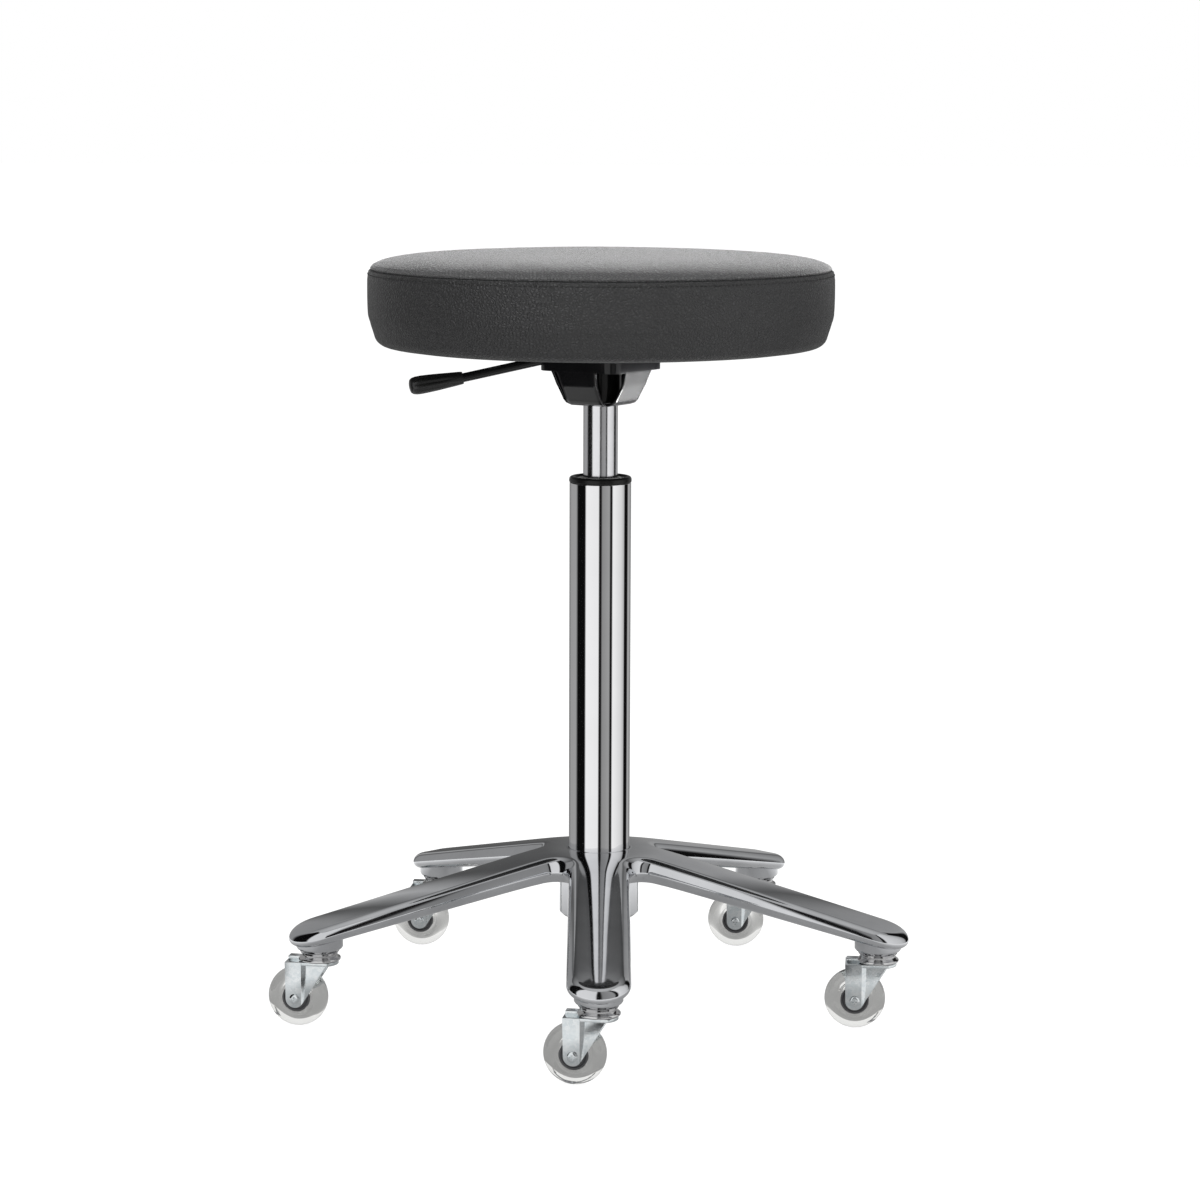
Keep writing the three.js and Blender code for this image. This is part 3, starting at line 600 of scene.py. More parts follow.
def black_cloth():
    material, tree, shader = new_material("black_cloth", Sheen_Weight=0.2)
    along = add(tree, "ShaderNodeTexNoise", {
        "Vector": object_place(tree, (150, 1500, 1500)), "Scale": 1.0, "Detail": 3.0}).outputs["Fac"]
    across = add(tree, "ShaderNodeTexNoise", {
        "Vector": object_place(tree, (1500, 150, 1500)), "Scale": 1.0, "Detail": 3.0}).outputs["Fac"]
    fibres = math_node(tree, "MAXIMUM", along, across)
    tint(tree, shader, fibres, (0.008, 0.008, 0.008), (0.035, 0.035, 0.036), 0.4, 0.8)
    tree.links.new(map_range(tree, fibres, 0.95, 0.75), shader.inputs["Roughness"])
    bump(tree, shader, fibres, 0.25 * MM)
    return material


def thread():
    material, tree, shader = new_material("thread", Sheen_Weight=0.05)
    plies = add(tree, "ShaderNodeTexNoise", {
        "Vector": object_place(tree, (2500, 2500, 6000)), "Scale": 1.0, "Detail": 2.0}).outputs["Fac"]
    tint(tree, shader, plies, (0.003, 0.003, 0.003), (0.012, 0.012, 0.012))
    tree.links.new(map_range(tree, plies, 0.55, 0.75), shader.inputs["Roughness"])
    bump(tree, shader, plies, 0.1 * MM)
    return material


FINISHES = {
    "zinc": zinc, "clear_tyre": clear_tyre, "leather_side": leather_side, "leather_top": leather_top,
    "foam": foam, "plywood": plywood, "black_cloth": black_cloth, "thread": thread,
}


def finish(slot):
    """The material of that name, made once."""
    made = bpy.data.materials.get(slot + "_finish")
    if made:
        return made
    if slot in METALS:
        return worn_metal(slot)
    return coated(slot) if slot in COATINGS else FINISHES[slot]()


# ---------------------------------------------------------------- star base
def leg_top(sizes, radius):
    """Height of the casting's top: level round the column, then a steady fall."""
    softness = 8 * MM
    slope = (HUB_TOP - sizes.tip_top) / (CASTOR_CIRCLE - sizes.knee)
    return HUB_TOP - slope * softness * math.log(1 + math.exp((radius - sizes.knee) / softness))


def crown_drop(sizes, x, y):
    """How far the crowned top lies under its ridge, for a leg along +X."""
    half = LEG_HALF - sizes.roll
    aside = math.hypot(max(0, x - CASTOR_CIRCLE), y) / half
    return sizes.crown * min(1, aside) ** 2 * smooth_step(sizes.neck, sizes.knee + 30 * MM, math.hypot(x, y))


def leg_thickness(sizes, radius):
    share = (radius - sizes.knee) / (CASTOR_CIRCLE - sizes.knee)
    return sizes.root_thickness + (sizes.tip_thickness - sizes.root_thickness) * share


def flat_outline(sizes):
    """Edge of the flat top of one leg: (point, direction outwards) from crotch to crotch, leg along +X."""
    half = LEG_HALF - sizes.roll
    fillet = sizes.crotch + sizes.roll
    bisector = math.pi / LEGS
    corner = Vector(((half + fillet) / math.tan(bisector), half + fillet))
    crotch_angle = math.degrees(bisector) + 180
    side = []
    for x, y in arc(corner.x, corner.y, fillet, crotch_angle, 270, 12):
        side.append((Vector((x, y)), (corner - Vector((x, y))).normalized()))
    for k in range(1, 15):
        x = corner.x + (CASTOR_CIRCLE - corner.x) * k / 15
        side.append((Vector((x, half)), Vector((0, 1))))
    tip = Vector((CASTOR_CIRCLE, 0))
    for x, y in arc(tip.x, tip.y, half, 90, 0, 14):
        side.append((Vector((x, y)), (Vector((x, y)) - tip).normalized()))
    mirrored = [(Vector((p.x, -p.y)), Vector((n.x, -n.y))) for p, n in side[-2::-1]]
    return side + mirrored


def casting_rows(sizes):
    """Stations of the closed section from the column's bore over the leg and back, as (kind, value)."""
    bore = TUBE_R + 0.3 * MM
    rows = [("ring", (bore, sizes.hub_bottom + 1 * MM)), ("ring", (bore, HUB_TOP - 0.5 * MM)),
            ("ring", (bore + 0.4 * MM, HUB_TOP)), ("ring", (sizes.neck - 0.4 * MM, HUB_TOP))]
    rows += [("top", (k / 22) ** 1.8) for k in range(22)]
    rows += [("roll", math.pi * k / 20) for k in range(21)]
    rows += [("bottom", k / 12) for k in range(1, 13)]
    rows += [("ring", (sizes.hub_radius, sizes.hub_bottom + 2.5 * MM)),
             ("ring", (sizes.hub_radius - 2.5 * MM, sizes.hub_bottom)),
             ("ring", (bore + 1 * MM, sizes.hub_bottom)),
             ("ring", (bore, sizes.hub_bottom + 1 * MM))]
    return rows


def casting_point(sizes, station, edge):
    """Place of one point of the casting, for a station of its section and a point of the outline."""
    kind, value = station
    point, out = edge
    reach = point.length
    away = point / reach
    if kind == "ring":
        radius, height = value
        return Vector((away.x * radius, away.y * radius, height))
    if kind == "top":
        radius = sizes.neck + (reach - sizes.neck) * value
        x, y = away * radius
        return Vector((x, y, leg_top(sizes, radius) - crown_drop(sizes, x, y)))
    if kind == "bottom":
        radius = reach + (sizes.hub_radius - reach) * value
        height = leg_top(sizes, radius) - leg_thickness(sizes, radius)
        return Vector((away.x * radius, away.y * radius, height))
    start = 0.1                          # the roll leaves the top with this much slope, in radians
    turn = start + (math.pi - start) * value / math.pi
    flat = point + out * sizes.roll * (math.sin(turn) - math.sin(start)) / (1 - math.sin(start))
    share = (math.cos(start) - math.cos(turn)) / (math.cos(start) + 1)
    edge_drop = crown_drop(sizes, point.x, point.y)
    drop = edge_drop + (leg_thickness(sizes, flat.length) - edge_drop) * share
    return Vector((flat.x, flat.y, leg_top(sizes, flat.length) - drop))


class STOOL_OT_base(bpy.types.Operator):
    """Casts the five-legged base: legs, hub and castor bosses"""
    bl_idname = "stool.base"
    bl_label = "Star Base"

    def execute(self, context):
        sizes = context.scene.stool_base
        outline = flat_outline(sizes)
        rows = casting_rows(sizes)
        across, along = len(outline) - 1, len(rows) - 1
        bm = bmesh.new()
        bmesh.ops.create_grid(bm, x_segments=across, y_segments=along, size=1)
        if len(bm.verts) != (across + 1) * (along + 1):
            raise RuntimeError("the casting's grid has the wrong number of points")
        for vert in bm.verts:
            column = round((vert.co.x + 1) / 2 * across)
            row = round((vert.co.y + 1) / 2 * along)
            vert.co = casting_point(sizes, rows[row], outline[column])
        bmesh.ops.rotate(bm, cent=(0, 0, 0), matrix=Matrix.Rotation(FRONT, 3, "Z"), verts=bm.verts)
        bmesh.ops.spin(
            bm, geom=bm.verts[:] + bm.edges[:] + bm.faces[:], cent=(0, 0, 0), axis=(0, 0, 1),
            angle=FULL_TURN * (LEGS - 1) / LEGS, steps=LEGS - 1, use_duplicate=True)
        bmesh.ops.remove_doubles(bm, verts=bm.verts, dist=1e-6)
        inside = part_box("castor_stem_1")[1].z - BOSS_BOTTOM - 4 * MM
        bore = 5.7 * MM
        for index in range(LEGS):
            angle = FRONT + FULL_TURN * index / LEGS
            place = Matrix.Translation((
                CASTOR_CIRCLE * math.cos(angle), CASTOR_CIRCLE * math.sin(angle), BOSS_BOTTOM))
            radius = sizes.boss_radius
            boss = turned([
                (bore, 0), (radius - 1.4 * MM, 0), (radius - 0.9 * MM, 0.25 * MM),
                (radius, 1.6 * MM), (radius, inside), (bore, inside)], 48)
            join(bm, boss, place)
        piece_from(bm, "base_casting", "base", "polished_aluminium", ["star_base"], crease=40)
        return {"FINISHED"}


# ---------------------------------------------------------------- column
class STOOL_OT_column(bpy.types.Operator):
    """Draws the chromed column tube with its black collar and wiper ring"""
    bl_idname = "stool.column"
    bl_label = "Column"

    def execute(self, context):
        bore = TUBE_R - 1.5 * MM
        floor = TUBE_BOTTOM + 3 * MM
        rise = 1.7 * MM                  # the collar's skirt is shorter than its plug
        turned_piece("chromed_column", [
            (6 * MM, TUBE_BOTTOM), (TUBE_R, TUBE_BOTTOM), (TUBE_R, TUBE_TOP + rise), (bore, TUBE_TOP + rise),
            (bore, floor), (6 * MM, floor)], "base", "chrome", ["column_tube"], edge=0.7 * MM, segments=128)
        inner = TUBE_R - 5 * MM
        rim = COLLAR_TOP - 3.6 * MM
        crown = arc(TUBE_R - 2.1 * MM, rim - 2.4 * MM, 2.4 * MM, 10, 150, 8)
        turned_piece("rim_collar", [
            (bore + 0.3 * MM, COLLAR_BOTTOM + rise), (TUBE_R + 0.1 * MM, COLLAR_BOTTOM + rise),
            (COLLAR_R, COLLAR_BOTTOM + rise + 0.8 * MM)] + crown + [
            (inner, rim - 1.6 * MM), (inner, COLLAR_BOTTOM + rise + 1 * MM),
            (bore + 0.3 * MM, COLLAR_BOTTOM + rise + 1 * MM)],
            "base", "black_plastic", ["column_collar"], edge=0.3 * MM, segments=96)
        wiper_r, wiper_bottom, _ = round_size("wiper_ring")
        wiper_top = rim - 0.6 * MM
        lip = PISTON_R + 0.3 * MM
        turned_piece("wiper_seal", [
            (lip, wiper_bottom), (wiper_r, wiper_bottom), (wiper_r, wiper_top - 1 * MM),
            (wiper_r - 1.2 * MM, wiper_top - 1 * MM), (lip + 1 * MM, wiper_top),
            (lip, wiper_top - 0.6 * MM)],
            "base", "grey_plastic", ["wiper_ring"], edge=0.25 * MM, segments=96)
        return {"FINISHED"}


class STOOL_OT_gas_spring(bpy.types.Operator):
    """Grinds the bright piston tube, its cone and the bearing that it turns on"""
    bl_idname = "stool.gas_spring"
    bl_label = "Gas Spring"

    def execute(self, context):
        inner = PISTON_R - 1.8 * MM
        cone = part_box("cone_socket")[0].z - 1 * MM
        cone_top = PISTON_R - 1 * MM
        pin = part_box("valve_pin")[1].x + 0.3 * MM
        cap = PISTON_TOP - 18 * MM
        turned_piece("piston_tube", [
            (inner, PISTON_BOTTOM), (PISTON_R, PISTON_BOTTOM), (PISTON_R, cone),
            (cone_top, PISTON_TOP), (pin, PISTON_TOP), (pin, cap), (inner - 2 * MM, cap),
            (inner, cap - 2 * MM)], "seat", "chrome_piston", ["gas_cylinder"], edge=0.5 * MM, segments=96)
        low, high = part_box("bearing_balls")
        ball = (high.z - low.z) / 2
        circle = high.x - ball
        bm = bmesh.new()
        count = 12
        for k in range(count):
            angle = FULL_TURN * k / count
            place = Matrix.Translation((circle * math.cos(angle), circle * math.sin(angle), low.z + ball))
            bmesh.ops.create_uvsphere(bm, u_segments=16, v_segments=10, radius=ball, matrix=place)
        piece_from(bm, "thrust_balls", "rod", "steel", ["bearing_balls"])
        return {"FINISHED"}


# ---------------------------------------------------------------- mechanism
def housing_place():
    return Matrix.Rotation(HOUSING_TURN, 4, "Z")


def pan_flap(half, flange_bottom, pan_bottom):
    """One folded side of the pan: a strip that leans in towards the foot, its cut edges curved."""
    depth = flange_bottom - pan_bottom
    bends = [(half - 0.6 * MM, 1 * MM), (half - 5.2 * MM, -0.415 * depth), (half - 12.2 * MM, -0.85 * depth),
             (half - 15 * MM, -0.94 * depth), (half - 20.3 * MM, -depth)]
    steps, across = 6, 10
    profile = []
    for (x0, z0), (x1, z1) in zip(bends, bends[1:]):
        profile += [(x0 + (x1 - x0) * k / steps, z0 + (z1 - z0) * k / steps) for k in range(steps)]
    profile.append(bends[-1])
    rows = len(profile) - 1
    bm = bmesh.new()
    bmesh.ops.create_grid(bm, x_segments=across, y_segments=rows, size=1)
    for vert in bm.verts:
        row = round((vert.co.y + 1) / 2 * rows)
        x, z = profile[row]
        fall = (profile[0][1] - z) / (profile[0][1] - profile[-1][1])
        width = (19.3 - 2.3 * fall - 6 * fall * (1 - fall)) * MM
        vert.co = Vector((x, vert.co.x * width, flange_bottom + z))
    bm.normal_update()
    thicken(bm, SHEET, lambda face: face.normal.x)
    return bm


class STOOL_OT_housing(bpy.types.Operator):
    """Presses the lift housing under the seat, its socket, plate and screws"""
    bl_idname = "stool.housing"
    bl_label = "Lift Housing"

    def execute(self, context):
        low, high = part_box("mechanism_housing")
        flange_bottom, skirt_top = 525.7 * MM, high.z
        pan_bottom = low.z - 2.2 * MM
        half, corner = 37.5 * MM, 10 * MM
        bm = bmesh.new()
        raise_edges(bm, rounded_square(bm, half, corner, flange_bottom), skirt_top - flange_bottom)
        bm.normal_update()
        outward(bm)
        thicken(bm, SHEET, lambda face: face.normal.dot(face.calc_center_median()))
        for side in range(4):
            flap = pan_flap(half, flange_bottom, pan_bottom)
            join(bm, flap, Matrix.Rotation(side * math.pi / 2, 4, "Z"))
        bmesh.ops.transform(bm, matrix=housing_place(), verts=bm.verts)
        outward(bm)
        soften(bm, 0.45 * MM, 2, angle=50)
        piece_from(bm, "lift_housing", "seat", "black_steel", ["mechanism_housing"], crease=25)
        self.socket()
        self.plate()
        self.screws()
        return {"FINISHED"}

    def socket(self):
        low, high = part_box("cone_socket")
        outer = 17.2 * MM
        bore = PISTON_R + 0.3 * MM
        turned_piece("cone_bush", [
            (bore, low.z + 1.5 * MM), (outer, low.z + 1.5 * MM), (outer, high.z), (bore - 0.9 * MM, high.z)],
            "seat", "black_steel", ["cone_socket"], edge=0.6 * MM)

    def plate(self):
        bm = bmesh.new()
        square = rounded_square(bm, 78 * MM, 12 * MM, PLATE_BOTTOM, 6)
        bmesh.ops.contextual_create(bm, geom=square)
        raise_faces(bm, bm.faces[:], 3 * MM)
        pivot = middle("lever_pin")
        lug_bottom = pivot.z - 4.5 * MM
        for side in (-6, 6):
            place = (Matrix.Rotation(LEVER_AZIMUTH - HOUSING_TURN, 4, "Z")
                     @ Matrix.Translation((pivot.xy.length, side * MM, (lug_bottom + PLATE_BOTTOM) / 2))
                     @ Matrix.Diagonal((10 * MM, 2 * MM, PLATE_BOTTOM - lug_bottom, 1)))
            bmesh.ops.create_cube(bm, size=1, matrix=place)
        bmesh.ops.transform(bm, matrix=housing_place(), verts=bm.verts)
        outward(bm)
        soften(bm, 0.5 * MM, 2)
        piece_from(bm, "seat_plate", "seat", "black_steel", ["mounting_plate"])

    def screws(self):
        for number in range(1, 5):
            node = f"mounting_screw_{number}"
            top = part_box(node)[1].z
            head, shank = 5.6 * MM, 3 * MM
            face = PLATE_BOTTOM - 0.3 * MM
            spot = middle(node)
            bm = turned(
                [(0, face - 1 * MM), (2.4 * MM, face - 1 * MM), (2.4 * MM, face - 1.9 * MM),
                 (3.6 * MM, face - 1.9 * MM)]
                + arc(head - 1.5 * MM, face - 0.4 * MM, 1.5 * MM, -80, 0, 5)
                + [(head, face), (shank, face), (shank, top - 1 * MM), (0, top)],
                32, closed=False)
            bmesh.ops.translate(bm, verts=bm.verts, vec=(spot.x, spot.y, 0))
            outward(bm)
            soften(bm, 0.2 * MM, 2, angle=50)
            piece_from(bm, f"seat_screw_{number}", "seat", "zinc", [node])


class STOOL_OT_lever(bpy.types.Operator):
    """Bends the height lever and moulds its fluted grip"""
    bl_idname = "stool.lever"
    bl_label = "Height Lever"

    def execute(self, context):
        pivot = middle("lever_pin")
        away = Vector((math.cos(LEVER_AZIMUTH), math.sin(LEVER_AZIMUTH), 0))
        bend = pivot.xy.length + 6 * MM
        fall = math.tan(math.radians(11.5))
        start = 113 * MM
        mouth = away * start + Vector((0, 0, pivot.z - fall * (start - bend)))
        tilt = math.radians(8.5)
        inside = mouth + (away * math.cos(tilt) - Vector((0, 0, math.sin(tilt)))) * 15 * MM
        self.rod([
            away * -2.9 * MM + Vector((0, 0, pivot.z)),
            away * (bend - 5 * MM) + Vector((0, 0, pivot.z)),
            away * (bend + 5 * MM) + Vector((0, 0, pivot.z - fall * 5 * MM)),
            mouth, inside])
        self.grip(mouth, tilt)
        return {"FINISHED"}

    def rod(self, route):
        curve = bpy.data.curves.new("lever_bar", "CURVE")
        curve.dimensions = "3D"
        curve.bevel_depth = 3.65 * MM
        curve.bevel_resolution = 6
        curve.use_fill_caps = True
        spline = curve.splines.new("BEZIER")
        spline.bezier_points.add(len(route) - 1)
        for k, (point, place) in enumerate(zip(spline.bezier_points, route)):
            before = route[max(0, k - 1)]
            after = route[min(len(route) - 1, k + 1)]
            along = (after - before).normalized()
            point.co = place
            point.handle_left = place - along * min((place - before).length / 3, 6 * MM)
            point.handle_right = place + along * min((after - place).length / 3, 6 * MM)
        curve.materials.append(finish("black_steel"))
        bar = bpy.data.objects.new("lever_bar", curve)
        bpy.context.scene.collection.objects.link(bar)
        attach(bar, "lever")
        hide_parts("lever_rod")

    def grip(self, mouth, tilt):
        """A pear-shaped grip with flutes that fade out towards its mouth and its tip."""
        length, bore = 43.5 * MM, 4.1 * MM
        belly = [(4.9, 0), (5.15, 1.2), (5.5, 5), (6.1, 12), (6.75, 20), (7.25, 28), (7.45, 34), (7.3, 38),
                 (6.6, 41), (5.2, 42.7), (3, 43.35), (0, 43.5)]
        outline = [(bore, 17 * MM), (bore, 0.6 * MM), (4.5 * MM, 0)]
        outline += [(radius * MM, height * MM) for radius, height in belly]
        bm = turned([(0, 17 * MM)] + outline, 96, closed=False)
        bmesh.ops.subdivide_edges(
            bm, edges=[e for e in bm.edges if abs(e.verts[0].co.z - e.verts[1].co.z) > 3 * MM], cuts=2)
        flutes, depth = 9, 0.75 * MM
        for vert in bm.verts:
            reach = vert.co.xy.length
            if reach < bore + 0.2 * MM and vert.co.z < 20 * MM:
                continue
            along = vert.co.z / length
            share = smooth_step(0.1, 0.45, along) * (1 - smooth_step(0.86, 0.985, along))
            wave = 0.5 - 0.5 * math.cos(flutes * math.atan2(vert.co.y, vert.co.x))
            if reach > 0:
                vert.co.xy *= 1 - depth * share * wave ** 1.4 / reach
        place = (Matrix.Translation(mouth) @ Matrix.Rotation(LEVER_AZIMUTH, 4, "Z")
                 @ Matrix.Rotation(math.pi / 2 + tilt, 4, "Y"))
        piece_from(bm, "fluted_grip", "lever", "grip_plastic", ["lever_grip"], crease=50, place=place)


# ---------------------------------------------------------------- seat
def crown_height(radius, seam_r):
    """Height of the top panel over its seam: a quick rise at the edge, then nearly flat."""
    return (SEAT_TOP - SEAM_Z) * math.sqrt(max(0, 1 - (radius / seam_r) ** 6))


def pucker(vert_co, centre_z, depth, spread, frequency):
    """How far the stitching pulls the leather in at a point, in metres."""
    angle = math.atan2(vert_co.y, vert_co.x)
    ripple = noise.noise(Vector((frequency * math.cos(angle), frequency * math.sin(angle), 0)))
    nearness = math.exp(-((vert_co.z - centre_z) / spread) ** 2)
    return depth * nearness * (0.6 + 0.9 * ripple)


class STOOL_OT_cushion(bpy.types.Operator):
    """Upholsters the seat: foam, top panel, side band, seam and top stitching"""
    bl_idname = "stool.cushion"
    bl_label = "Cushion"

    def execute(self, context):
        sizes = context.scene.stool_seat
        self.foam_pad()
        self.top_panel(sizes)
        self.side_band(sizes)
        self.stitching(sizes)
        return {"FINISHED"}

    def foam_pad(self):
        low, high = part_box("seat_foam")
        outer = max(high.x, high.y)
        edge = 9 * MM
        pad = turned_piece("foam_pad", [(0, low.z), (outer - 8 * MM, low.z), (outer, low.z + 22 * MM)]
                           + arc(outer - edge, high.z - 12 * MM - edge, edge, 0, 80, 8)
                           + [(160 * MM, high.z - 1.2 * MM), (0, high.z)],
                           "seat", "foam", ["seat_foam"], edge=0, closed=False)

    def top_panel(self, sizes):
        seam_r = SEAT_R - sizes.seam_inset
        fold = 1.3 * MM
        shoulder = seam_r - fold * 0.2
        radii = [seam_r * (1 - (1 - k / 40) ** 2.2) for k in range(41)]
        skin = [(radius, SEAM_Z + 0.3 * MM + crown_height(radius, seam_r * 1.0008)) for radius in radii[:-1]]
        skin += arc(shoulder - fold, SEAM_Z + 0.9 * MM, fold, 30, -80, 6)
        skin.append((seam_r - 5 * MM, SEAM_Z - 0.3 * MM))
        bm = turned(skin, 288, closed=False)
        for vert in bm.verts:
            edge_share = smooth_step(0.8, 0.97, vert.co.xy.length / seam_r)
            slow = noise.noise(Vector((vert.co.x, vert.co.y, 0)) * 14)
            quick = noise.noise(Vector((vert.co.x, vert.co.y, 0.3)) * 60)
            if vert.co.z > SEAM_Z + 1 * MM:
                vert.co.z += (0.35 * slow + 0.22 * quick * edge_share) * MM
        outward(bm)
        thicken(bm, sizes.leather * 0.6, lambda face: face.normal.z)
        panel = piece_from(bm, "top_panel", "seat", "leather_top", ["cover_top"], crease=60)

    def side_profile(self, sizes):
        """Outside of the band from the fold under the board up to the seam."""
        seam_r = SEAT_R - sizes.seam_inset
        bottom = SEAT_BOTTOM
        profile = [(150 * MM, bottom), (157 * MM, bottom), (163 * MM, bottom + 0.3 * MM)]
        profile += arc(SEAT_R - 15.8 * MM, bottom + 12.2 * MM, 10.5 * MM, -80, -12, 9)
        profile += [(SEAT_R - 4.4 * MM, bottom + 13.6 * MM), (SEAT_R - 2.4 * MM, bottom + 19.5 * MM),
                    (SEAT_R - 1.1 * MM, bottom + 23.2 * MM), (SEAT_R - 0.5 * MM, bottom + 27 * MM),
                    (SEAT_R - 0.15 * MM, bottom + 33 * MM), (SEAT_R, bottom + 40 * MM),
                    (SEAT_R, bottom + 48 * MM), (SEAT_R - 0.1 * MM, SEAM_Z - 8 * MM),
                    (SEAT_R - 0.35 * MM, SEAM_Z - 5.5 * MM)]
        profile += arc(seam_r - 0.6 * MM, SEAM_Z - 2.6 * MM, 2.3 * MM, 25, 90, 6)
        profile.append((seam_r - 4.5 * MM, SEAM_Z - 0.7 * MM))
        return profile

    def side_band(self, sizes):
        outline = [Vector((radius, 0, height)) for radius, height in self.side_profile(sizes)]
        fine = []
        for first, second in zip(outline, outline[1:]):
            steps = max(1, math.ceil((second - first).length / (1.6 * MM)))
            if second.z < SEAT_BOTTOM + 1 * MM:
                steps = 1
            fine += [first.lerp(second, k / steps) for k in range(steps)]
        fine.append(outline[-1])
        bm = turned([(point.x, point.z) for point in fine], 480, closed=False)
        stitch_z = SEAM_Z - sizes.stitch_drop
        for vert in bm.verts:
            if vert.co.z < SEAT_BOTTOM + 3 * MM or vert.co.z > SEAM_Z - 1 * MM:
                continue
            angle = math.atan2(vert.co.y, vert.co.x)
            ring = Vector((math.cos(angle), math.sin(angle), 0)) * SEAT_R
            slow = noise.noise(Vector((ring.x * 16, ring.y * 16, vert.co.z * 22)))
            wave = noise.noise(Vector((ring.x * 55, ring.y * 55, vert.co.z * 40)))
            inwards = pucker(vert.co, stitch_z, 0.35 * MM, 2.2 * MM, 60)
            crease = 0.5 * MM * math.exp(-((vert.co.z - SEAT_BOTTOM - 22 * MM) / (2.5 * MM)) ** 2)
            moved = (0.3 * slow + 0.12 * wave) * MM - inwards - crease * (0.7 + 0.5 * slow)
            vert.co.xy *= 1 + moved / vert.co.xy.length
        outward(bm)
        thicken(bm, sizes.leather * 0.6, lambda face: face.normal.dot(
            Vector((*face.calc_center_median().xy, 0))))
        band = piece_from(bm, "side_band", "seat", "leather_side", ["cover_side"], crease=60)

    def stitching(self, sizes):
        height = SEAM_Z - sizes.stitch_drop
        radius = SEAT_R - 0.62 * MM
        count = round(FULL_TURN * radius / sizes.stitch_pitch)
        length, width = sizes.stitch_pitch * 0.72, 0.42 * MM
        bm = bmesh.new()
        for k in range(count):
            angle = FULL_TURN * k / count
            place = (Matrix.Rotation(angle, 4, "Z") @ Matrix.Translation((radius, 0, height))
                     @ Matrix.Rotation(math.radians(7), 4, "X")
                     @ Matrix.Diagonal((width, length / 2, width, 1)))
            bmesh.ops.create_uvsphere(bm, u_segments=6, v_segments=5, radius=1, matrix=place)
        piece_from(bm, "top_stitching", "seat", "leather_side", material="thread")


class STOOL_OT_underside(bpy.types.Operator):
    """Covers the underside of the seat: dust cover and staples"""
    bl_idname = "stool.underside"
    bl_label = "Underside"

    def execute(self, context):
        sizes = context.scene.stool_seat
        outer, low, high = round_size("dust_cover")
        cover = turned_piece(
            "under_cover", [(0, low), (outer, low), (outer, high), (0, high)],
            "seat", "black_cloth", ["dust_cover"], edge=0.3 * MM, closed=False)
        bm = bmesh.new()
        for k in range(sizes.staples):
            angle = FULL_TURN * (k + 0.3 * math.sin(7 * k)) / sizes.staples
            place = (Matrix.Rotation(angle, 4, "Z")
                     @ Matrix.Translation((152.8 * MM, 0, SEAT_BOTTOM - 0.05 * MM))
                     @ Matrix.Rotation(0.25 * math.sin(3 * k), 4, "Z")
                     @ Matrix.Diagonal((0.7 * MM, 10 * MM, 0.4 * MM, 1)))
            bmesh.ops.create_cube(bm, size=1, matrix=place)
        outward(bm)
        soften(bm, 0.15 * MM, 2)
        piece_from(bm, "cover_staples", "seat", "zinc")
        return {"FINISHED"}


# ---------------------------------------------------------------- castors
def castor_place(number):
    """Frame of one castor: its stem at the origin, its wheel behind on -X."""
    stem = middle(f"castor_stem_{number}")
    wheel = middle(f"castor_hub_{number}")
    yaw = math.atan2(stem.y - wheel.y, stem.x - wheel.x)
    return Matrix.Translation((stem.x, stem.y, 0)) @ Matrix.Rotation(yaw, 4, "Z")


def castor_trail():
    return (middle("castor_stem_1").xy - middle("castor_hub_1").xy).length


def fork_side(sizes, side, crown_top):
    """One side of the pressed fork, its leading half stepped in."""
    trail = castor_trail()
    end = 7.4 * MM
    outer = sizes.fork_half
    outline = [(-trail - end - 0.6 * MM, crown_top), (-trail - end, WHEEL_R)]
    outline += arc(-trail, WHEEL_R, end, 180, 325, 16)[1:]
    outline += [(5.5 * MM, crown_top - 6.5 * MM), (7.6 * MM, crown_top - 3 * MM), (8 * MM, crown_top)]
    bm = bmesh.new()
    bm.faces.new([bm.verts.new((x, side * outer, z)) for x, z in outline])
    jog_start, jog_end = -12.5 * MM, -9 * MM
    for cut in (jog_start, jog_end):
        everything = bm.verts[:] + bm.edges[:] + bm.faces[:]
        bmesh.ops.bisect_plane(bm, geom=everything, plane_co=(cut, 0, 0), plane_no=(1, 0, 0))
    for vert in bm.verts:
        share = smooth_step(jog_start, jog_end, vert.co.x)
        vert.co.y -= side * sizes.fork_jog * share
    bm.normal_update()
    thicken(bm, sizes.fork_sheet, lambda face: face.normal.y * side)
    return bm


def fork_crown(bm, sizes, crown_bottom, crown_top):
    """The fork's level plate: round over the stem, square towards the trailing side."""
    trail = castor_trail()
    back = -trail - 8 * MM
    half = sizes.fork_half - 0.2 * MM
    nose = 15.2 * MM
    meet = math.degrees(math.asin(half / nose))
    points = [(back, half), (back, -half)] + arc(0, 0, nose, -meet, meet, 16)
    plate = bm.faces.new([bm.verts.new((x, y, crown_bottom)) for x, y in points])
    raise_faces(bm, [plate], crown_top - crown_bottom)


